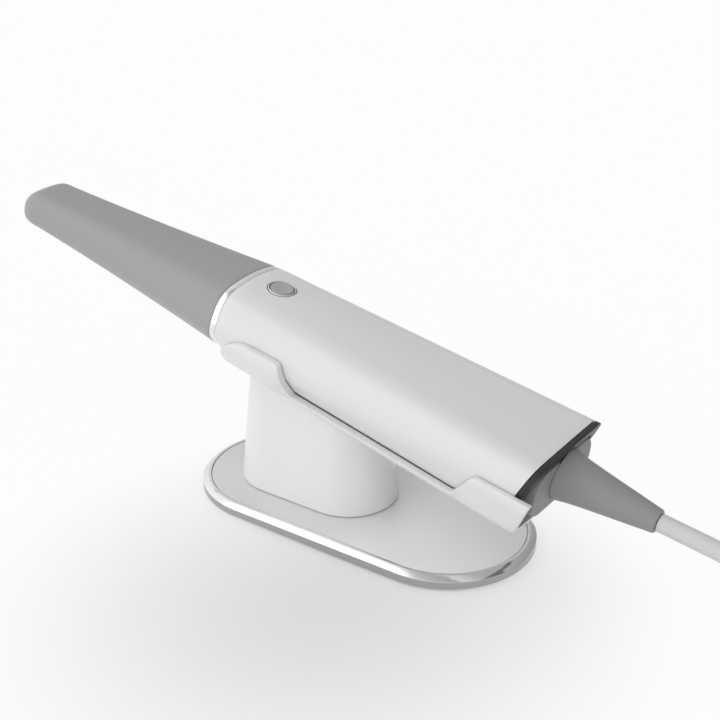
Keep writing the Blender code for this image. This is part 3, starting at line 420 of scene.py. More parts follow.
def rounded_box(name: str, size: Point, bevel: float, segments: int = 4) -> Mesh:
    """Build a box with rounded edges about the origin.

    Args:
        name: the name of the mesh.
        size: its length, width and height.
        bevel: how wide its edges' roundings are.
        segments: how many pieces each rounding has.

    Returns:
        The mesh.
    """
    work = bmesh.new()
    bmesh.ops.create_cube(work, size=1.0)
    bmesh.ops.scale(work, vec=size, verts=work.verts)
    bmesh.ops.bevel(work, geom=work.edges[:], offset=bevel, segments=segments, profile=0.5, affect="EDGES")
    return finished_mesh(name, work)


def carved(mesh: Mesh, *tools: Mesh, sharp: float = 35.0) -> Mesh:
    """Cut meshes out of a mesh.

    Args:
        mesh: the mesh that is cut.
        tools: the meshes that are taken away, all in the same coordinates.
        sharp: the angle in degrees above which an edge is sharp.

    Returns:
        The resulting mesh.
    """
    items = [bpy.data.objects.new("work", part) for part in (mesh, *tools)]
    for item in items:
        bpy.context.scene.collection.objects.link(item)
    for tool in items[1:]:
        cut = items[0].modifiers.new("cut", "BOOLEAN")
        cut.operation = "DIFFERENCE"
        cut.solver = "EXACT"
        cut.object = tool
    bpy.context.view_layer.update()
    graph = bpy.context.evaluated_depsgraph_get()
    result = bpy.data.meshes.new_from_object(items[0].evaluated_get(graph))
    result.name = mesh.name
    for spare in items:
        bpy.data.objects.remove(spare, do_unlink=True)
    return shaded(result, sharp)


# Finishes

class Nodes:
    """A node tree with short ways to add to it."""

    def __init__(self, tree: bpy.types.NodeTree) -> None:
        """Keep the tree."""
        self.tree = tree

    def add(self, kind: str, inputs: dict[str | int, object] | None = None, **settings: object) -> Node:
        """Add a node.

        Args:
            kind: the type of the node.
            inputs: what each input gets, a socket that is linked to it or a value.
            settings: the node's own settings.

        Returns:
            The node.
        """
        node = self.tree.nodes.new(kind)
        for key, value in settings.items():
            setattr(node, key, value)
        for key, value in (inputs or {}).items():
            if isinstance(value, Socket):
                self.tree.links.new(value, node.inputs[key])
            else:
                node.inputs[key].default_value = value
        return node

    def calculate(self, operation: str, first: Socket, second: Socket | float) -> Socket:
        """Add a calculation with two values and return its result."""
        return self.add("ShaderNodeMath", {0: first, 1: second}, operation=operation).outputs["Value"]

    def along(self, operation: str, first: Socket, second: Point) -> Socket:
        """Add a measure between two vectors and return its value."""
        return self.add("ShaderNodeVectorMath", {0: first, 1: second}, operation=operation).outputs["Value"]

    def ramp(self, source: Socket, span: Flat, values: Flat, smooth: bool = False) -> Socket:
        """Map a span of a value to a range of values, kept within the range.

        Args:
            source: the value.
            span: where the ramp starts and ends.
            values: what the ramp goes from and to.
            smooth: whether it starts and ends softly.

        Returns:
            The mapped value.
        """
        inputs = {"Value": source, "From Min": span[0], "From Max": span[1],
                  "To Min": values[0], "To Max": values[1]}
        kind = "SMOOTHSTEP" if smooth else "LINEAR"
        return self.add("ShaderNodeMapRange", inputs, interpolation_type=kind).outputs["Result"]


class Graph(Nodes):
    """The node tree of a new material."""

    def __init__(self, name: str) -> None:
        """Start a material with one Principled shader.

        Args:
            name: the name of the material.
        """
        self.material = bpy.data.materials.new(name)
        self.material.use_nodes = True
        super().__init__(self.material.node_tree)
        self.shader = self.tree.nodes["Principled BSDF"]
        self.coordinates = self.add("ShaderNodeTexCoord").outputs["Object"]

    def feed(self, key: str, source: Socket) -> None:
        """Link a socket to an input of the Principled shader."""
        self.tree.links.new(source, self.shader.inputs[key])

    def set(self, **values: float) -> None:
        """Set inputs of the Principled shader, an underscore standing for a space."""
        for key, value in values.items():
            self.shader.inputs[key.replace("_", " ")].default_value = value

    def place(self, axis: str) -> Socket:
        """Return how far along an axis each point lies."""
        return self.add("ShaderNodeSeparateXYZ", {"Vector": self.coordinates}).outputs[axis]

    def noise(self, scale: float, detail: float = 3.0, stretch: Point = (1.0, 1.0, 1.0)) -> Socket:
        """Add a noise over the piece.

        Args:
            scale: how fine it is.
            detail: how many finer noises it holds.
            stretch: how much finer it is along each axis.

        Returns:
            The noise's value.
        """
        mapping = self.add("ShaderNodeMapping", {"Vector": self.coordinates, "Scale": stretch})
        inputs = {"Vector": mapping.outputs["Vector"], "Scale": scale, "Detail": detail}
        return self.add("ShaderNodeTexNoise", inputs).outputs["Fac"]

    def blend(self, source: Socket, low: Point, high: Point) -> None:
        """Let a value mix the base colour from two colours."""
        inputs = {"Factor": source, "A": (*low, 1.0), "B": (*high, 1.0)}
        self.feed("Base Color", self.add("ShaderNodeMix", inputs, data_type="RGBA").outputs["Result"])

    def tone(self, source: Socket, colour: Point, change: float) -> None:
        """Let the base colour move a little about its tone with a noise."""
        self.blend(source, tuple(part * (1.0 - change) for part in colour),
                   tuple(min(1.0, part * (1.0 + change)) for part in colour))

    def rough(self, source: Socket, roughness: float, change: float) -> None:
        """Let the roughness move a little with a noise."""
        values = (roughness * (1.0 - change), roughness * (1.0 + change))
        self.feed("Roughness", self.ramp(source, NOISE_SPAN, values))

    def grain(self, source: Socket, strength: float, height: float) -> None:
        """Let a value raise the surface a little."""
        inputs = {"Height": source, "Strength": strength, "Distance": height}
        self.feed("Normal", self.add("ShaderNodeBump", inputs).outputs["Normal"])


@dataclass(frozen=True)
class MouldedPlastic:
    """A moulded plastic with a fine orange peel. The other finishes start from it."""

    name: str
    colour: Point
    roughness: float = 0.3
    specular: float = 0.5
    coat: float = 0.0
    coat_roughness: float = 0.08
    metallic: float = 0.0
    tone_scale: float = 90.0
    tone_change: float = 0.012
    rough_scale: float = 260.0
    rough_change: float = 0.07
    grain_scale: float = 2600.0
    grain_strength: float = 0.05
    grain_height: float = 0.00002
    grain_detail: float = 2.0

    def paint(self, graph: Graph) -> None:
        """Give the graph its base colour."""
        graph.tone(graph.noise(self.tone_scale), self.colour, self.tone_change)

    def roughen(self, graph: Graph) -> None:
        """Give the graph its roughness."""
        graph.rough(graph.noise(self.rough_scale), self.roughness, self.rough_change)

    def texture(self, graph: Graph) -> None:
        """Give the graph its grain."""
        graph.grain(graph.noise(self.grain_scale, self.grain_detail), self.grain_strength, self.grain_height)

    def material(self) -> Material:
        """Build the material.

        Returns:
            The material.
        """
        graph = Graph(self.name)
        self.paint(graph)
        self.roughen(graph)
        self.texture(graph)
        graph.set(Metallic=self.metallic, Specular_IOR_Level=self.specular, Coat_Weight=self.coat,
                  Coat_Roughness=self.coat_roughness)
        return graph.material


@dataclass(frozen=True)
class RubberSkin(MouldedPlastic):
    """A soft rubber or cable jacket with a fine matt grain."""

    specular: float = 0.4
    tone_scale: float = 150.0
    tone_change: float = 0.03
    rough_scale: float = 500.0
    rough_change: float = 0.1
    grain_scale: float = 5000.0
    grain_strength: float = 0.15
    grain_height: float = 0.00003


@dataclass(frozen=True)
class PolishedMetal(MouldedPlastic):
    """A plated or polished metal with faint rubbing marks."""

    roughness: float = 0.08
    metallic: float = 1.0
    tone_scale: float = 120.0
    tone_change: float = 0.015
    rough_scale: float = 700.0
    rough_change: float = 0.15
    grain_scale: float = 3000.0
    grain_strength: float = 0.01
    grain_height: float = 0.00001


@dataclass(frozen=True)
class BandedMetal(PolishedMetal):
    """A metal that is polished above a level and darker and satin below it."""

    roughness: float = 0.12
    low_colour: Point = (0.5, 0.5, 0.5)
    low_roughness: float = 0.3
    level: float = 0.0

    def above(self, graph: Graph) -> Socket:
        """Return 1 above the level and 0 below it."""
        return graph.calculate("GREATER_THAN", graph.place("Z"), self.level)

    def paint(self, graph: Graph) -> None:
        """Give each band its colour."""
        graph.blend(self.above(graph), self.low_colour, self.colour)

    def roughen(self, graph: Graph) -> None:
        """Give each band its roughness."""
        values = (self.low_roughness, self.roughness)
        graph.feed("Roughness", graph.ramp(self.above(graph), (0.0, 1.0), values))


@dataclass(frozen=True)
class BrushedMetal(MouldedPlastic):
    """A satin metal with fine lines along one direction."""

    roughness: float = 0.35
    metallic: float = 0.9
    tone_change: float = 0.03
    rough_change: float = 0.12
    grain_scale: float = 3500.0
    grain_height: float = 0.00001
    grain_detail: float = 4.0
    stretch: Point = (0.03, 1.0, 1.0)

    def lines(self, graph: Graph) -> Socket:
        """Return the value of the fine lines."""
        return graph.noise(self.grain_scale, self.grain_detail, self.stretch)

    def paint(self, graph: Graph) -> None:
        """Let the colour follow the lines."""
        graph.tone(self.lines(graph), self.colour, self.tone_change)

    def roughen(self, graph: Graph) -> None:
        """Let the roughness follow the lines."""
        graph.rough(self.lines(graph), self.roughness, self.rough_change)

    def texture(self, graph: Graph) -> None:
        """Let the lines stand out a little."""
        graph.grain(self.lines(graph), self.grain_strength, self.grain_height)


@dataclass(frozen=True)
class PaintedLightMetal(BrushedMetal):
    """A brushed metal with painted light: its colour turns lighter along X, making up for shade that falls on
    that part.
    """

    painted_light_colour: Point = (1.0, 1.0, 1.0)
    painted_light_span: Flat = (0.0, 1.0)

    def paint(self, graph: Graph) -> None:
        """Paint light into the colour: it turns lighter along X over the painted-light span."""
        share = graph.ramp(graph.place("X"), self.painted_light_span, (0.0, 1.0), smooth=True)
        graph.blend(share, self.colour, self.painted_light_colour)


@dataclass(frozen=True)
class CoatedGlass:
    """A coated optical glass, dark behind its bluish coating."""

    name: str
    colour: Point
    roughness: Flat = (0.02, 0.04)
    coat_roughness: float = 0.01
    transmission: float = 0.35
    tone_scale: float = 60.0
    tone_change: float = 0.05
    rough_scale: float = 400.0

    def material(self) -> Material:
        """Build the material.

        Returns:
            The material.
        """
        graph = Graph(self.name)
        graph.tone(graph.noise(self.tone_scale), self.colour, self.tone_change)
        graph.feed("Roughness", graph.ramp(graph.noise(self.rough_scale), NOISE_SPAN, self.roughness))
        graph.set(Coat_Weight=1.0, Coat_Roughness=self.coat_roughness, Transmission_Weight=self.transmission)
        return graph.material


@dataclass(frozen=True)
class CircuitBoard:
    """A soldermask green board with copper runs under it."""

    name: str
    colour: Point
    roughness: Flat = (0.3, 0.42)
    run_scale: float = 300.0
    run_width: float = 0.06
    run_light: float = 1.8
    shade: float = 0.85
    rough_scale: float = 600.0
    grain_strength: float = 0.2
    grain_height: float = 0.00003

    def material(self) -> Material:
        """Build the material.

        Returns:
            The material.
        """
        graph = Graph(self.name)
        tones = {key: (*(part * light for part in self.colour), 1.0)
                 for key, light in (("Color1", 1.0), ("Color2", self.shade), ("Mortar", self.run_light))}
        runs = graph.add("ShaderNodeTexBrick", {"Vector": graph.coordinates, "Scale": self.run_scale,
                                                "Mortar Size": self.run_width, **tones})
        graph.feed("Base Color", runs.outputs["Color"])
        graph.feed("Roughness", graph.ramp(graph.noise(self.rough_scale), NOISE_SPAN, self.roughness))
        graph.grain(runs.outputs["Fac"], self.grain_strength, self.grain_height)
        return graph.material


Finish = MouldedPlastic | CoatedGlass | CircuitBoard

WHITE_SHELL = MouldedPlastic("white_shell_plastic", (0.80, 0.80, 0.805), 0.22, specular=0.6, coat=0.3)
WHITE_STAND = MouldedPlastic("white_stand_plastic", (0.835, 0.835, 0.84), 0.30, coat=0.2)
TIP_GREY = MouldedPlastic("grey_tip_plastic", (0.385, 0.385, 0.388), 0.36, specular=0.25)
RING_BLACK = MouldedPlastic("black_ring_plastic", (0.022, 0.022, 0.024), 0.42, specular=0.4)
OPTIC_BLACK = MouldedPlastic("black_optics_plastic", (0.016, 0.016, 0.017), 0.45, specular=0.4)
PLUG_GREY = MouldedPlastic("plug_plastic", (0.45, 0.45, 0.46), 0.4)
CHROME = PolishedMetal("chrome_plate", (0.82, 0.82, 0.83), 0.10)
RIM_METAL = BandedMetal("polished_rim_metal", (0.80, 0.80, 0.81), low_colour=(0.46, 0.46, 0.465),
                        level=0.0031)
PLUG_STEEL = PolishedMetal("plug_shell_steel", (0.62, 0.62, 0.63), 0.2)
MIRROR = PolishedMetal("mirror_coat", (0.90, 0.90, 0.92), 0.02)
BEZEL_METAL = PolishedMetal("satin_bezel_metal", (0.74, 0.74, 0.75), 0.3)
BUTTON_METAL = BrushedMetal("button_metal", (0.50, 0.50, 0.505), 0.36, metallic=0.6, stretch=(1.0, 0.05, 1.0))
# The panel's lighter colour towards +X is painted light. It stands in for light where the handpiece and the
# light from the left leave the panel in shade.
PANEL_METAL = PaintedLightMetal("satin_panel_metal_painted_light", (0.75, 0.752, 0.76), 0.36, metallic=0.25,
                          painted_light_colour=(0.93, 0.932, 0.94), painted_light_span=(-0.004, 0.026))
STEEL = BrushedMetal("plain_steel", (0.45, 0.45, 0.46), 0.4, metallic=1.0)
CHASSIS = BrushedMetal("chassis_aluminium", (0.55, 0.56, 0.58), 0.38)
RELIEF = RubberSkin("relief_rubber", (0.30, 0.30, 0.305), 0.5)
PAD = RubberSkin("pad_rubber", (0.025, 0.025, 0.026), 0.8, grain_strength=0.4)
JACKET = RubberSkin("cable_jacket", (0.66, 0.66, 0.67), 0.42, grain_strength=0.06)
STRAP = RubberSkin("strap_rubber", (0.05, 0.05, 0.052), 0.6, grain_strength=0.2)
GLASS = CoatedGlass("coated_glass", (0.05, 0.09, 0.12))
BOARD = CircuitBoard("circuit_board", (0.02, 0.16, 0.07))


def add_piece(name: str, mesh: Mesh | bpy.types.Curve, finish: Finish, replaced: Sequence[str],
              matrix: Matrix = WORLD, body: Body = Body.STAND) -> bpy.types.Object:
    """Put a fine piece in the scene in place of CAD nodes.

    Args:
        name: the piece's name.
        mesh: its mesh or curve.
        finish: what it is made of.
        replaced: the CAD nodes it stands for.
        matrix: where its own coordinates lie.
        body: the body it rides on.

    Returns:
        The object.
    """
    mesh.transform(matrix)
    piece = bpy.data.objects.new(name, mesh)
    bpy.context.scene.collection.objects.link(piece)
    mesh.materials.clear()
    mesh.materials.append(finish.material())
    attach(piece, body.value)
    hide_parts(*replaced)
    LOG.info("built %s", name)
    return piece


def refine(node: str, mesh: Mesh, finish: Finish, matrix: Matrix = WORLD,
           body: Body = Body.STAND) -> None:
    """Put the fine piece of one CAD node in its place."""
    add_piece("fine_" + node, mesh, finish, [node], matrix, body)


def dress(finish: Finish, slot: str, *nodes: str) -> None:
    """Give CAD nodes that are carried over their finish.

    Args:
        finish: what they are made of.
        slot: the name of a material slot; not used.
        nodes: the names of the nodes.
    """
    for node in nodes:
        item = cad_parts[node]
        item.data.materials.clear()
        item.data.materials.append(finish.material())
        LOG.info("dressed %s", node)


# Handpiece form

@dataclass(frozen=True)
class Form:
    """The handpiece's outer sections, measured forward from the end of the strain relief.

    A section's size is how far it goes up, to each side and down. The chine and the shoulder are its lower
    and upper corners. They are given at both ends of the body or sleeve, as many_cornered takes them.
    """

    body_rear: float = 0.0384
    body_front: float = 0.1594
    body_rake: float = 0.33
    wall: float = 0.0020
    ridges: Flat = (0.0050, 0.0070)
    body_sizes: Ends = ((0.0114, 0.0245, 0.0171), (0.0168, 0.0219, 0.0110))
    body_chines: Ends = ((0.70, 0.90, 0.0060), (0.62, 0.93, 0.0060))
    body_side: Flat = (0.0005, 0.0045)
    body_shoulders: Ends = ((0.885, 0.965, 0.0058), (0.776, 0.87, 0.0088))
    parting_share: float = 0.62
    collar_width: float = 0.0022
    tip_length: float = 0.1060
    tip_nose: float = 0.0105
    tip_sizes: Ends = ((0.0168, 0.0219, 0.0105), (0.0118, 0.0108, 0.0033))
    tip_chines: Ends = ((0.60, 0.90, 0.0060), (0.84, 0.88, 0.0030))
    tip_sides: tuple[Flat, Flat] = ((0.0005, 0.0045), (0.0030, 0.0030))
    tip_shoulders: Ends = ((0.776, 0.87, 0.0088), (0.90, 0.93, 0.0042))
    tip_waist: Point = (0.000275, 0.0011, 0.00044)

    @property
    def tip_root(self) -> float:
        """Return where the tip sleeve starts."""
        return self.body_front + 2.0 * SEAT_GAP + self.collar_width

    @property
    def tip_front(self) -> float:
        """Return where the tip sleeve ends."""
        return self.tip_root + self.tip_length

    @property
    def nose_start(self) -> float:
        """Return where the sleeve's rounded nose starts."""
        return self.tip_front - self.tip_nose

    def body_share(self, forward: float) -> float:
        """Return how far along the body a place lies, 0 at its rear end and 1 at its front."""
        return (forward - self.body_rear) / (self.body_front - self.body_rear)

    def body_corners(self, forward: float) -> list[Point]:
        """Return the corners of the body's outer section at a place.

        Args:
            forward: the place along the handpiece.

        Returns:
            (y, z, reach) of each corner.
        """
        share = self.body_share(forward)
        size, chine, shoulder = (blend_all(*ends, share)
                                 for ends in (self.body_sizes, self.body_chines, self.body_shoulders))
        return many_cornered(size, chine, self.body_side, shoulder, self.ridges)

    def tip_corners(self, forward: float) -> list[Point]:
        """Return the corners of the sleeve's outer section at a place.

        Args:
            forward: the place, and one beyond an end gives that end's section.

        Returns:
            (y, z, reach) of each corner.
        """
        share = clamped((forward - self.tip_root) / (self.nose_start - self.tip_root))
        bow = 4.0 * share * (1.0 - share)
        size = tuple(far - bow * waist
                     for far, waist in zip(blend_all(*self.tip_sizes, share), self.tip_waist))
        chine, side, shoulder = (blend_all(*ends, share)
                                 for ends in (self.tip_chines, self.tip_sides, self.tip_shoulders))
        return many_cornered(size, chine, side, shoulder, self.ridges)

    def section(self, forward: float, inset: float = 0.0) -> list[Flat]:
        """Return the rounded outer section at a place, moved inwards by an inset."""
        corners = self.body_corners(forward) if forward <= self.body_front else self.tip_corners(forward)
        return rounded(offset_corners(corners, inset) if inset else corners)

    def ring(self, forward: float, inset: float = 0.0, rake: float = 0.0) -> list[Point]:
        """Return the section as points of the handpiece's frame, leaned by a rake."""
        return leaned(self.section(forward, inset), forward, rake)

    def rear_ring(self, place: float, inset: float) -> list[Point]:
        """Return the rear end's own section at a raked place."""
        return leaned(self.section(self.body_rear, inset), place, self.body_rake)

    def lean(self, forward: float) -> float:
        """Return how far a station of the body leans."""
        return self.body_rake * clamped(1.0 - self.body_share(forward))

    def parting(self, forward: float) -> float:
        """Return the height of the parting line between the shells."""
        _, chine, side, *_ = self.body_corners(forward)
        return blend(side[1], chine[1], self.parting_share)

    def crown(self, forward: float) -> float:
        """Return the height of the crown line."""
        return max(z for _, z in self.section(forward))


FORM = Form()


# Sub-assemblies

@dataclass(frozen=True)
class ScanButton:
    """The round scan button, its bezel and what is under it."""

    radius: float = 0.0041
    height: float = 0.0026
    proud: float = 0.0003
    edge: float = 0.0003
    edge_turns: tuple[float, ...] = (0.4, 0.8, 1.2, QUARTER)
    dish: tuple[Flat, ...] = ((0.0, 0.00025), (0.45, 0.0002), (0.72, 0.00006))
    flange: float = 0.0006
    bezel_width: float = 0.0006
    bezel_turns: tuple[float, ...] = (0.0, 0.4, 0.8, 1.2, 1.57, 1.94, 2.34, 2.74, math.pi)
    from_front: float = 0.0109

    @property
    def bezel_radius(self) -> float:
        """Return the bezel's outer radius."""
        return self.radius + SEAT_GAP + self.bezel_width

    @property
    def place(self) -> Matrix:
        """Return where the button sits on the crown line.

        Returns:
            The matrix from the button's frame to the handpiece's.
        """
        forward = FORM.body_front - self.from_front
        rise = FORM.crown(FORM.body_front) - FORM.crown(FORM.body_rear)
        slope = math.atan2(rise, FORM.body_front - FORM.body_rear)
        return Matrix.Translation((forward, 0.0, FORM.crown(forward))) @ Matrix.Rotation(-slope, 4, "Y")

    def cap(self) -> Mesh:
        """Build the cap with a shallow dish and a soft edge.

        Returns:
            The mesh.
        """
        base = self.proud - self.height
        profile = [(self.radius * share, self.proud - depth) for share, depth in self.dish]
        profile.append((self.radius - self.edge, self.proud))
        profile += [(self.radius - self.edge * (1.0 - math.sin(turn)),
                     self.proud - self.edge * (1.0 - math.cos(turn))) for turn in self.edge_turns]
        profile += [(self.radius, base), (self.radius + self.flange, base),
                    (self.radius + self.flange, base - self.flange), (0.0, base - self.flange)]
        return turned("button_cap_form", profile)

    def bezel(self) -> Mesh:
        """Build the thin round ring about the cap.

        Returns:
            The mesh.
        """
        inner = self.radius + SEAT_GAP
        middle = (inner + self.bezel_radius) / 2.0
        bow = (self.bezel_radius - inner) / 2.0
        base = self.proud - self.height + SEAT_GAP
        profile = [(middle - bow * math.cos(turn), self.proud - bow * (1.0 - math.sin(turn)))
                   for turn in self.bezel_turns]
        profile += [(self.bezel_radius, base), (inner, base)]
        return turned("button_bezel_form", profile, hollow=True)

    def build(self) -> None:
        """Build and dress the button's pieces."""
        place = HANDPIECE @ self.place
        refine("button_cap", self.cap(), BUTTON_METAL, place, Body.BUTTON)
        refine("button_bezel", self.bezel(), BEZEL_METAL, place)
        dress(OPTIC_BLACK, "black_plastic", "tact_switch")
        dress(BOARD, "circuit_board", "button_board")


@dataclass(frozen=True)
class BodyShells:
    """The two halves of the white body, the upper one with the button's hole."""

    button: ScanButton
    edge: float = 0.0002
    lip: float = 0.00015
    station_count: int = 40
    hole_above: float = 0.004
    hole_below: float = 0.006

    def wall(self, name: str, half: Half) -> Mesh:
        """Build one shell's wall.

        Args:
            name: the name of the mesh.
            half: which shell it is.

        Returns:
            The mesh.
        """
        ends = eased_edge(self.edge, 3)
        places = [(FORM.body_rear + far, inset) for far, inset in ends]
        places += [(place, 0.0)
                   for place in stations(FORM.body_rear, FORM.body_front, self.station_count)[1:-1]]
        places += [(FORM.body_front - far, inset) for far, inset in reversed(ends)]
        rings = []
        for place, inset in places:
            level = FORM.parting(place) + half.value * (SEAT_GAP / 2.0 + inset)
            outer = FORM.section(place, inset)
            inner = FORM.section(place, FORM.wall - inset)
            rings.append(leaned(lipped_wall(outer, inner, level, half, self.lip), place, FORM.lean(place)))
        return skin(name, rings)

    def build(self) -> None:
        """Build and dress both shells."""
        hole = drill("button_hole", self.button.bezel_radius + SEAT_GAP, self.hole_above, self.hole_below)
        hole.transform(self.button.place)
        upper = carved(self.wall("upper_shell_wall", Half.UPPER), hole)
        refine("upper_shell", upper, WHITE_SHELL, HANDPIECE)
        lower = self.wall("lower_shell_wall", Half.LOWER)
        refine("lower_shell", lower, WHITE_SHELL, HANDPIECE)
        dress(STEEL, "screw_steel", "shell_screw_left", "shell_screw_right")


@dataclass(frozen=True)
class Collar:
    """The bright ring between the sleeve and the body."""

    inset: float = 0.0001
    edge: float = 0.00035
    reach: float = 0.0002

    def build(self) -> None:
        """Build and dress the ring."""
        start = FORM.body_front + SEAT_GAP - self.reach
        end = start + FORM.collar_width + 2.0 * self.reach
        ends = eased_edge(self.edge, 5)
        rings = [FORM.ring(start + far, self.inset + less) for far, less in ends]
        rings += [FORM.ring(end - far, self.inset + less) for far, less in reversed(ends)]
        rings += [FORM.ring(end, FORM.wall), FORM.ring(start, FORM.wall)]
        refine("collar_ring", skin("collar_form", rings, closed=True), CHROME, HANDPIECE)


@dataclass(frozen=True)
class TipSleeve:
    """The pull-off sleeve with its scan window, and the mirror in it."""

    wall: float = 0.0015
    lip: float = 0.0004
    station_count: int = 44
    window: Point = (0.0150, 0.0140, 0.0080)
    window_edge: float = 0.0012
    window_from_end: float = 0.0095
    window_drop: float = 0.0055
    nose_rings: int = 26
    nose_turn: float = math.radians(88.5)
    nose_trim: float = 0.0008
    nose_bluntness: float = 0.9
    nose_width: float = 0.62
    nose_height: float = 1.1
    chin: float = 0.0015

    def nose(self, inset: float, depth: float) -> list[list[Point]]:
        """Return the rings of the end, which bends down to its lower edge.

        Args:
            inset: how far inside the sleeve's outer form the rings lie.
            depth: how far forward of the nose's start they would go untrimmed.

        Returns:
            The rings, forwards.
        """
        last = FORM.section(FORM.nose_start, inset)
        low = min(z for _, z in last)
        rings = []
        for step in range(1, self.nose_rings + 1):
            angle = self.nose_turn * math.sin(QUARTER * step / self.nose_rings)
            forward = FORM.nose_start + (depth - self.nose_trim) * math.sin(angle) ** self.nose_bluntness
            across = math.cos(angle) ** self.nose_width
            high = math.cos(angle) ** self.nose_height
            base = low + self.chin * (1.0 - high)
            rings.append([(forward, y * across, base + (z - low) * high) for y, z in last])
        return rings

    def build(self) -> None:
        """Build and dress the sleeve and the mirror."""
        inset = SEAT_GAP / 2.0
        inner_inset = inset + self.wall
        ends = eased_edge(self.lip, 4)
        places = stations(FORM.tip_root, FORM.nose_start, self.station_count)[1:]
        outer = [FORM.ring(FORM.tip_root + far, inset + less) for far, less in ends]
        outer += [FORM.ring(place, inset) for place in places] + self.nose(inset, FORM.tip_nose)
        inner = [FORM.ring(FORM.tip_root + far, inner_inset - less) for far, less in ends]
        inner += [FORM.ring(place, inner_inset) for place in places]
        inner += self.nose(inner_inset, FORM.tip_nose - self.wall)
        window = rounded_box("window_cut", self.window, self.window_edge)
        middle = FORM.tip_front - self.window_from_end - self.window[0] / 2.0
        window.transform(Matrix.Translation((middle, 0.0, -self.window_drop)))
        sleeve = carved(skin("tip_sleeve_wall", outer[::-1] + inner), window)
        refine("tip_sleeve", sleeve, TIP_GREY, HANDPIECE, Body.TIP)
        dress(MIRROR, "tip_mirror", "tip_mirror")


@dataclass(frozen=True)
class NoseBarrel:
    """The optical barrel under the sleeve, its front glass and the optics behind it."""

    sleeve: TipSleeve
    length: float = 0.0640
    root: float = 0.0045
    wall: float = 0.0015
    edge: float = 0.0005
    slide_gap: float = 0.00035
    station_count: int = 24

    def build(self) -> None:
        """Build and dress the barrel, the glass and the optics."""
        outer = SEAT_GAP / 2.0 + self.sleeve.wall + self.slide_gap
        seat = FORM.wall + SEAT_GAP
        root = FORM.body_front - self.root
        shoulder = FORM.body_front + SEAT_GAP
        front = FORM.tip_root + self.length
        places = stations(FORM.tip_root, front, self.station_count)[:-1]
        rings = [FORM.ring(root, seat), FORM.ring(shoulder, seat)]
        rings += [FORM.ring(place, outer) for place in places]
        rings += [FORM.ring(front - far, outer + less) for far, less in reversed(eased_edge(self.edge, 4))]
        rings += [FORM.ring(place, outer + self.wall) for place in (front, *places[::-1])]
        rings += [FORM.ring(shoulder, seat + self.wall), FORM.ring(root, seat + self.wall)]
        barrel = skin("nose_barrel_wall", rings, closed=True)
        refine("nose_barrel", barrel, OPTIC_BLACK, HANDPIECE)
        dress(GLASS, "front_glass", "barrel_glass")
        dress(OPTIC_BLACK, "black_plastic", "camera_module", "projector_module", "camera_lens",
              "projector_lens")
        dress(CHASSIS, "chassis_metal", "optical_chassis")
        dress(BOARD, "circuit_board", "main_board")


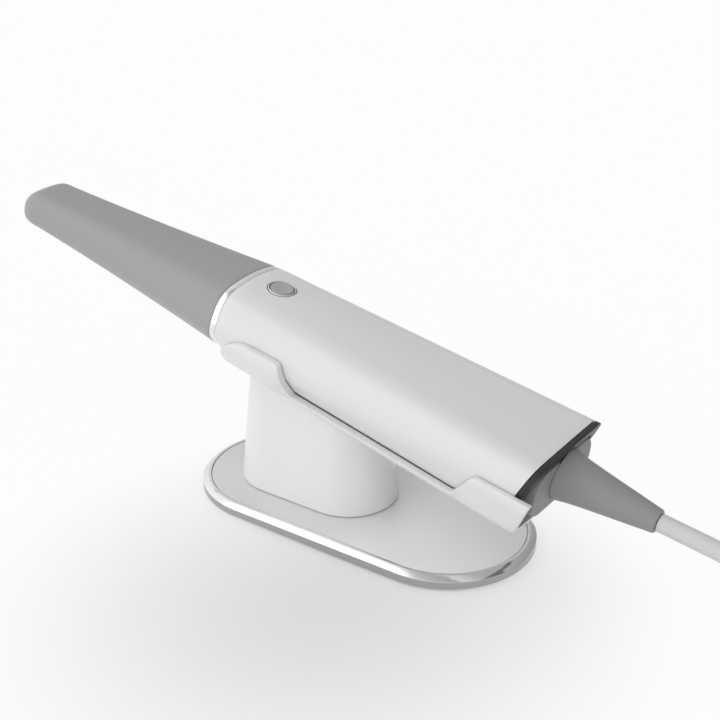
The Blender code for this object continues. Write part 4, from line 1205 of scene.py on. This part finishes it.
@dataclass(frozen=True)
class RearEnd:
    """The dark ring, the rear cap and the strain relief."""

    ring_width: float = 0.0021
    ring_edge: float = 0.0003
    ring_lip: float = 0.0008
    ring_reach: float = 0.0042
    plate_face: float = 0.0332
    plate_size: Point = (0.0069, 0.0198, 0.0098)
    plate_corner: Point = (0.84, 0.97, 0.0052)
    plate_side: Flat = (-0.0020, 0.0050)
    plate_ridges: Flat = (0.0050, 0.0050)
    plate_edge: float = 0.0006
    spigot: float = 0.0060
    bore: float = 0.02
    relief_end: float = 0.0039
    relief_cone: float = 0.0083
    relief_root: float = 0.0090
    relief_foot: float = 0.0002
    relief_seat: float = 0.00004
    relief_spigot: float = 0.0050
    relief_steps: int = 36
    relief_share: float = 0.995
    flare_power: int = 9
    lip_profile: tuple[Flat, ...] = ((0.0, 0.0005), (0.00012, 0.00015), (0.0004, 0.0))

    @property
    def ring_rear(self) -> float:
        """Return the place of the ring's rear face."""
        return FORM.body_rear - SEAT_GAP - self.ring_width

    def ring_mesh(self) -> Mesh:
        """Build the ring with eased edges and a thin lip that reaches in towards the plate.

        Returns:
            The mesh.
        """
        front = FORM.body_rear - SEAT_GAP
        inner_lip = self.ring_rear + self.ring_lip
        ends = eased_edge(self.ring_edge, 4)
        places = [(self.ring_rear + far, less) for far, less in ends]
        places += [(front - far, less) for far, less in reversed(ends)]
        places += [(front, FORM.wall), (inner_lip, FORM.wall), (inner_lip, self.ring_reach),
                   (self.ring_rear, self.ring_reach)]
        return skin("rear_ring_form", [FORM.rear_ring(*place) for place in places], closed=True)

    def plate_section(self, inset: float) -> list[Flat]:
        """Return the plate's own outline, moved inwards.

        Args:
            inset: how far it is moved.

        Returns:
            The points of the outline.
        """
        corner = self.plate_corner
        corners = many_cornered(self.plate_size, corner, self.plate_side, corner, self.plate_ridges)
        return rounded(offset_corners(corners, inset))

    def cap_mesh(self) -> Mesh:
        """Build the plate, square to the axis, and the spigot that follows the raked ring.

        Returns:
            The mesh.
        """
        inset = FORM.wall + SEAT_GAP
        end = FORM.body_rear + self.spigot
        shoulder = self.ring_rear + self.ring_lip + SEAT_GAP
        rings = [leaned(self.plate_section(less), self.plate_face + far)
                 for far, less in eased_edge(self.plate_edge, 5)]
        rings += [leaned(self.plate_section(0.0), shoulder, FORM.body_rake), FORM.rear_ring(shoulder, inset),
                  FORM.ring(end, inset, FORM.lean(end))]
        hole = drill("relief_hole", self.relief_spigot + SEAT_GAP, self.bore, self.bore)
        hole.transform(Matrix.Translation((self.plate_face, 0.0, 0.0)) @ Matrix.Rotation(QUARTER, 4, "Y"))
        return carved(skin("rear_cap_form", rings), hole)

    def relief_mesh(self) -> Mesh:
        """Build the turned sleeve that widens to the plate, with its spigot.

        Returns:
            The mesh.
        """
        root = self.plate_face - self.relief_seat
        radius = self.relief_spigot
        profile = [(0.0, root + radius), (radius, root + radius), (radius, root),
                   (self.relief_root - self.relief_foot, root)]
        for step in range(self.relief_steps, 0, -1):
            share = step / self.relief_steps * self.relief_share
            flare = (self.relief_root - self.relief_cone) * share ** self.flare_power
            profile.append((blend(self.relief_end, self.relief_cone, share) + flare, root * share))
        profile += [(self.relief_end - less, far) for less, far in self.lip_profile]
        mesh = turned("strain_relief_form", [*profile, (0.0, 0.0)])
        mesh.transform(Matrix.Rotation(QUARTER, 4, "Y"))
        return mesh

    def build(self) -> None:
        """Build and dress the rear end."""
        refine("rear_ring", self.ring_mesh(), RING_BLACK, HANDPIECE)
        refine("rear_cap", self.cap_mesh(), RELIEF, HANDPIECE)
        refine("strain_relief", self.relief_mesh(), RELIEF, HANDPIECE)


@dataclass(frozen=True)
class Cradle:
    """The trough that carries the handpiece, with an ear at each end of each side.

    An ear is given by its length and the height of its edge. Low is the height of the edge between the
    ears, at the rear and at the front.
    """

    wall: float = 0.0022
    rear_wall: float = 0.0020
    thin_from: float = 0.075
    thin_over: float = 0.035
    rear: float = 0.0320
    front: float = 0.1560
    gap: float = 0.0004
    rear_ear: Flat = (0.0197, 0.0016)
    front_ear: Flat = (0.0250, 0.0040)
    low: Flat = (-0.0124, -0.0086)
    slope: float = 0.0065
    corner: float = 0.0120
    corner_turns: range = range(0, 87, 4)
    lip: float = 0.0003
    station_count: int = 90
    far_cut: float = 0.0070
    far_reach: float = 0.0300
    far_width: float = 0.02
    block_margins: Flat = (0.002, 0.004)
    block_stations: int = 30

    def level(self, forward: float) -> float:
        """Return the height of the cradle's edge.

        Args:
            forward: the place along the handpiece.

        Returns:
            The height.
        """
        rear_end = self.rear + self.rear_ear[0]
        front_start = self.front - self.front_ear[0]
        level = blend(*self.low, clamped((forward - rear_end) / (front_start - rear_end)))
        level = blend(level, self.rear_ear[1], ease((rear_end + self.slope - forward) / self.slope))
        level = blend(level, self.front_ear[1], ease((forward - front_start + self.slope) / self.slope))
        into = clamped((forward - self.front + self.corner) / self.corner)
        return level - self.corner * (1.0 - math.sqrt(max(0.0, 1.0 - into ** 2)))

    def places(self) -> list[Flat]:
        """Return the stations with the inset that rounds the wall's rear end.

        Returns:
            (place, inset) pairs, forwards.
        """
        corner_start = self.front - self.corner
        places = [(self.rear + far, less) for far, less in eased_edge(self.lip, 4)]
        places += [(place, 0.0) for place in stations(self.rear, corner_start, self.station_count)[1:-1]]
        turns = [math.radians(turn) for turn in self.corner_turns]
        return places + [(self.front - self.corner * (1.0 - math.sin(turn)), 0.0) for turn in turns]

    def section(self, forward: float, inset: float) -> list[Flat]:
        """Return the body section that the cradle follows, also beyond the body's two ends."""
        return FORM.section(min(max(forward, FORM.body_rear), FORM.body_front), inset)

    def lean(self, forward: float) -> float:
        """Return how far a station leans, the same behind the body as at its rear end."""
        return FORM.lean(max(forward, FORM.body_rear))

    def thickness(self, forward: float) -> float:
        """Return the wall's thickness at a place, less towards the rear end."""
        return blend(self.wall, self.rear_wall, ease((self.thin_from - forward) / self.thin_over))

    def block(self, extra: float) -> Mesh:
        """Build a solid of the cradle's outside for cutting the column.

        Args:
            extra: how far it is grown.

        Returns:
            The mesh, in the world's frame.
        """
        behind, before = self.block_margins
        rings = [leaned(self.section(place, -self.gap - self.thickness(place) - extra), place,
                        self.lean(place))
                 for place in stations(self.rear - behind, self.front + before, self.block_stations)]
        mesh = skin("cradle_block", rings)
        mesh.transform(HANDPIECE)
        return mesh

    def build(self) -> None:
        """Build and dress the cradle, its far side's rear end further forward than the near side's."""
        rings = []
        for place, inset in self.places():
            outer = self.section(place, inset - self.gap - self.thickness(place))
            inner = self.section(place, -self.gap - inset)
            loop = lipped_wall(outer, inner, self.level(place) - inset, Half.LOWER, self.lip)
            cut = self.far_cut * max(0.0, 1.0 - (place - self.rear) / self.far_reach)
            rings.append([(x + cut * ease(-y / self.far_width), y, z)
                          for x, y, z in leaned(loop, place, self.lean(place))])
        refine("cradle", skin("cradle_form", rings, fold=WALL_FOLD), WHITE_STAND, HANDPIECE)


@dataclass(frozen=True)
class BaseStand:
    """The race-track base: polished rim, satin panel, weight, pad and screws.

    The rim's profile is (inset, height) points, up its outer wall and bevel and back under the panel.
    """

    length: float = 0.1293
    width: float = 0.0620
    height: float = 0.0046
    rim_profile: tuple[Flat, ...] = (
        (0.0, 0.0006), (0.0, 0.0031), (0.00004, 0.00317), (0.00205, 0.00457), (0.00216, 0.0046),
        (0.0030, 0.0046), (0.0030, 0.0031), (0.0075, 0.0031), (0.0075, 0.0013), (0.0025, 0.0013),
        (0.0025, 0.0006))
    rim_sharp: float = 25.0
    panel_inset: float = 0.0033
    panel_thickness: float = 0.0012
    panel_edge: float = 0.00015
    end_steps: int = 72

    def outline(self, inset: float, height: float) -> list[Point]:
        """Return the base's outline at a height, moved inwards by an inset."""
        return race_track(self.length - 2.0 * inset, self.width - 2.0 * inset, height, steps=self.end_steps)

    def build(self) -> None:
        """Build and dress the base."""
        outlines = [self.outline(inset, height) for inset, height in self.rim_profile]
        rim = skin("rim_form", outlines, closed=True, sharp=self.rim_sharp)
        refine("base_rim", rim, RIM_METAL)
        panel = [self.outline(self.panel_inset, self.height - self.panel_thickness)]
        panel += [self.outline(self.panel_inset + less, self.height - far)
                  for far, less in reversed(eased_edge(self.panel_edge, 3))]
        refine("base_panel", skin("panel_form", panel), PANEL_METAL)
        dress(STEEL, "weight_steel", "base_weight")
        dress(PAD, "foot_rubber", "foot_pad")
        dress(STEEL, "screw_steel", "column_screw_front", "column_screw_rear")


@dataclass(frozen=True)
class Column:
    """The hollow oval column under the cradle, its top cut to the cradle's form."""

    cradle: Cradle
    base: BaseStand
    length: float = 0.0609
    width: float = 0.0353
    offset: float = -0.0193
    draft: float = math.radians(5.6)
    wall: float = 0.0026
    reach: float = 0.060
    foot_edge: float = 0.0004
    plain_from: float = 0.012
    station_count: int = 6
    core_margin: float = 0.002

    def ring(self, height: float, inset: float) -> list[Point]:
        """Return the outline at a height, moved inwards by an inset."""
        shrink = 2.0 * (math.tan(self.draft) * (height - self.base.height) + inset)
        return race_track(self.length - shrink, self.width - shrink, height, self.offset)

    def build(self) -> None:
        """Build and dress the column."""
        foot = self.base.height + SEAT_GAP
        rings = [self.ring(foot + far, less) for far, less in eased_edge(self.foot_edge, 4)]
        heights = stations(self.plain_from, self.reach, self.station_count)
        rings += [self.ring(height, 0.0) for height in heights]
        inside = [self.ring(height, self.wall) for height in (foot - self.core_margin, self.reach)]
        core = carved(skin("column_core", inside), self.cradle.block(SEAT_GAP + self.wall))
        column = carved(skin("column_wall", rings), core, self.cradle.block(SEAT_GAP))
        refine("column", column, WHITE_STAND)


def compass(turn: float) -> Vector:
    """Return the level direction at an angle in degrees."""
    return Vector((math.cos(math.radians(turn)), math.sin(math.radians(turn)), 0.0))


@dataclass(frozen=True)
class Cable:
    """The cable: its free run, its coil of six turns, its tail, its strap and its plug.

    Angles along the coil are in degrees, from the end of the free run on.
    """

    radius: float = 0.0030
    length: float = 1.48
    leaves_at: Point = (0.1092, 0.0, 0.03365)
    route: tuple[Point, ...] = (
        (0.1092, 0.0, 0.03365), (0.1190, 0.0, 0.03205), (0.1287, 0.0, 0.03045), (0.1311, -0.0001, 0.02994),
        (0.1335, -0.0005, 0.02924), (0.1358, -0.0011, 0.02835), (0.1380, -0.0020, 0.02731),
        (0.1402, -0.0030, 0.02614), (0.1424, -0.0041, 0.02484), (0.1445, -0.0054, 0.02345),
        (0.1467, -0.0069, 0.02197), (0.1489, -0.0084, 0.02044), (0.1510, -0.0100, 0.01886),
        (0.1532, -0.0116, 0.01726), (0.1555, -0.0132, 0.01566), (0.1578, -0.0149, 0.01408),
        (0.1602, -0.0165, 0.01253), (0.1626, -0.0181, 0.01104), (0.1652, -0.0196, 0.00962),
        (0.1678, -0.0211, 0.00830), (0.1705, -0.0224, 0.00709), (0.1734, -0.0235, 0.00601),
        (0.1764, -0.0245, 0.00509), (0.1796, -0.0254, 0.00433), (0.1829, -0.0260, 0.00377),
        (0.1863, -0.0264, 0.00342),
    )
    centre: Point = (0.1900, 0.0185, 0.0)
    outer_lane: float = 0.0450
    lane_step: float = 0.0061
    low: float = 0.0033
    high: float = 0.0094
    first_turn: float = -90.0
    last_turn: float = 2150.0
    inward_changes: Point = (120.0, 480.0, 840.0)
    outward_changes: Flat = (1430.0, 1790.0)
    change_turn: float = 120.0
    climb_from: float = 1195.0
    climb_turn: float = 60.0
    crest_turn: float = 80.0
    coil_points: int = 448
    tie_lift: float = 0.0006
    tie_sharpness: float = 2.2
    tie_reach: float = 0.7
    tail_bend: float = 0.0235
    bend_step: float = 5.0
    bend_steps: int = 18
    tail: float = 0.0060
    tail_shares: Point = (0.33, 0.67, 1.0)
    plug_rise: float = 0.0006
    roundness: int = 6

    def lane(self, turn: float) -> Flat:
        """Return where the coil's line lies at an angle along it.

        Args:
            turn: the angle, from first_turn to last_turn.

        Returns:
            The distance from the coil's centre and the height of the line.
        """
        inwards, outwards = (sum(ease((turn - start) / self.change_turn) for start in changes)
                             for changes in (self.inward_changes, self.outward_changes))
        radius = self.outer_lane - self.lane_step * (inwards - outwards)
        height = blend(self.low, self.high, ease((turn - self.climb_from) / self.climb_turn))
        crest_start = self.last_turn - self.crest_turn
        if turn > crest_start:
            angle = QUARTER * ease((turn - crest_start) / self.crest_turn)
            radius = self.outer_lane + self.lane_step * (math.cos(angle) - 2.0)
            height = self.high + self.lane_step * math.sin(angle)
        side = math.radians(turn % 360.0 - 180.0)
        if abs(side) < self.tie_reach:
            height += self.tie_lift * max(0.0, math.cos(self.tie_sharpness * side)) ** 2
        return radius, height

    def points(self) -> list[Point]:
        """Return the points of the whole centreline.

        Returns:
            The points, from where the cable leaves the handpiece to its plug.
        """
        line = [Vector(point) for point in self.route]
        middle = Vector(self.centre)
        for turn in stations(self.first_turn, self.last_turn, self.coil_points):
            radius, height = self.lane(turn)
            line.append(middle + radius * compass(turn) + Vector((0.0, 0.0, height)))
        end = compass(self.last_turn)
        bend = line[-1] - self.tail_bend * end
        line += [bend + self.tail_bend * compass(self.last_turn + self.bend_step * step)
                 for step in range(1, self.bend_steps + 1)]
        line += [line[-1] - self.tail * share * end + Vector((0.0, 0.0, self.plug_rise * share))
                 for share in self.tail_shares]
        return [tuple(point) for point in line]

    def build(self) -> None:
        line = self.points()
        curve = bpy.data.curves.new("cable_line", "CURVE")
        curve.dimensions = "3D"
        curve.bevel_depth = self.radius
        curve.bevel_resolution = self.roundness
        curve.use_fill_caps = True
        spline = curve.splines.new("POLY")
        spline.points.add(len(line) - 1)
        for target, point in zip(spline.points, line):
            target.co = (*point, 1.0)
        spline.use_smooth = True
        cable = add_piece("fine_cable", curve, JACKET,
                          ["cable_run", "cable_coil", "cable_tail"])
        dress(PLUG_GREY, "plug_plastic", "plug_body")
        dress(PLUG_STEEL, "plug_steel", "plug_shell")
        dress(STRAP, "tie_rubber", "cable_tie")


@dataclass(frozen=True)
class Studio:
    """The camera, the floor, the soft surroundings and the view settings."""

    lens: float = 70.0
    clip: Flat = (0.01, 50.0)
    camera_place: Point = (0.24138, -0.34831, 0.26235)
    camera_turn: Point = (math.radians(90.0 - 25.716), 0.0, math.radians(34.917))
    floor_size: float = 6.0
    floor_place: Point = (0.0, 0.0, -0.0001)
    floor_colour: Point = (0.905, 0.905, 0.908)
    floor_tone: Flat = (3.0, 0.004)
    floor_roughness: float = 0.9
    floor_specular: float = 0.1
    shadow_kept_centre: Point = (0.020, -0.055, 0.0)
    grey_reach: float = 0.125
    white_share: float = 0.94
    bright_side: Point = (-0.60, -0.80, 0.0)
    side_light: Flat = (0.27, 1.37)
    panel: Point = (-0.516, -0.27, 0.813)
    panel_span: Flat = (0.95, 0.99)
    panel_light: float = 0.5
    zenith_span: Flat = (0.85, 0.98)
    zenith_light: float = -0.38

    def camera(self) -> None:
        """Place the camera."""
        data = bpy.data.cameras.new("camera")
        data.lens = self.lens
        data.clip_start, data.clip_end = self.clip
        item = bpy.data.objects.new("camera", data)
        item.location = self.camera_place
        item.rotation_euler = self.camera_turn
        bpy.context.scene.collection.objects.link(item)
        bpy.context.scene.camera = item

    def floor_material(self) -> Material:
        """Build the floor's material, which turns white away from a point in front of the base for the rays
        that look at it. This white is painted light: it also covers most of the object's shadow to the right
        of and behind the base.

        Returns:
            The material.
        """
        graph = Graph("floor_white")
        scale, change = self.floor_tone
        graph.tone(graph.noise(scale), self.floor_colour, change)
        graph.set(Roughness=self.floor_roughness, Specular_IOR_Level=self.floor_specular)
        # Painted light: the white fade grows with distance from this point and covers the object's shadow
        # away from the front of the base.
        distance = graph.along("DISTANCE", graph.coordinates, self.shadow_kept_centre)
        fade = graph.ramp(distance, (0.0, self.grey_reach), (0.0, self.white_share), smooth=True)
        rays = graph.add("ShaderNodeLightPath").outputs
        looks = graph.calculate("MAXIMUM", rays["Is Camera Ray"], rays["Is Glossy Ray"])
        looks = graph.calculate("MAXIMUM", looks, rays["Is Transmission Ray"])
        white = graph.add("ShaderNodeEmission", {"Color": (1.0, 1.0, 1.0, 1.0), "Strength": 1.0})
        inputs = {"Fac": graph.calculate("MULTIPLY", fade, looks), 1: graph.shader.outputs["BSDF"],
                  2: white.outputs["Emission"]}
        mix = graph.add("ShaderNodeMixShader", inputs)
        graph.tree.links.new(mix.outputs["Shader"], graph.tree.nodes["Material Output"].inputs["Surface"])
        return graph.material

    def floor(self) -> None:
        """Build the floor, which keeps the object's shadow in front of the base; further out its white fade
        paints light over that shadow.
        """
        work = bmesh.new()
        bmesh.ops.create_grid(work, x_segments=1, y_segments=1, size=self.floor_size)
        mesh = bpy.data.meshes.new("floor")
        work.to_mesh(mesh)
        work.free()
        mesh.materials.append(self.floor_material())
        item = bpy.data.objects.new("floor", mesh)
        item.location = self.floor_place
        bpy.context.scene.collection.objects.link(item)

    def surroundings(self) -> None:
        """Build the soft light: brighter from the left front, a bright panel there, dark overhead."""
        world = bpy.data.worlds.new("studio")
        bpy.context.scene.world = world
        world.use_nodes = True
        world.node_tree.nodes.clear()
        nodes = Nodes(world.node_tree)
        view = nodes.add("ShaderNodeTexCoord").outputs["Generated"]
        light = nodes.ramp(nodes.along("DOT_PRODUCT", view, self.bright_side), (-1.0, 1.0), self.side_light)
        for direction, span, more in ((self.panel, self.panel_span, self.panel_light),
                                      ((0.0, 0.0, 1.0), self.zenith_span, self.zenith_light)):
            patch = nodes.ramp(nodes.along("DOT_PRODUCT", view, direction), span, (0.0, more), smooth=True)
            light = nodes.calculate("ADD", light, patch)
        lit = nodes.add("ShaderNodeBackground", {"Color": (1.0, 1.0, 1.0, 1.0), "Strength": light})
        nodes.add("ShaderNodeOutputWorld", {"Surface": lit.outputs["Background"]})

    def build(self) -> None:
        """Build the whole studio."""
        self.camera()
        self.floor()
        self.surroundings()
        bpy.context.scene.view_settings.view_transform = "Standard"
        LOG.info("built the studio")


def main() -> None:
    """Build every piece."""
    logging.basicConfig(level=logging.INFO, format="%(message)s")
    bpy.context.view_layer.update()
    button, sleeve, cradle, base = ScanButton(), TipSleeve(), Cradle(), BaseStand()
    for part in (Studio(), Cable(), BodyShells(button), button, Collar(), sleeve, NoseBarrel(sleeve),
                 RearEnd(), cradle, Column(cradle, base), base):
        part.build()


if __name__ == "__main__":
    main()
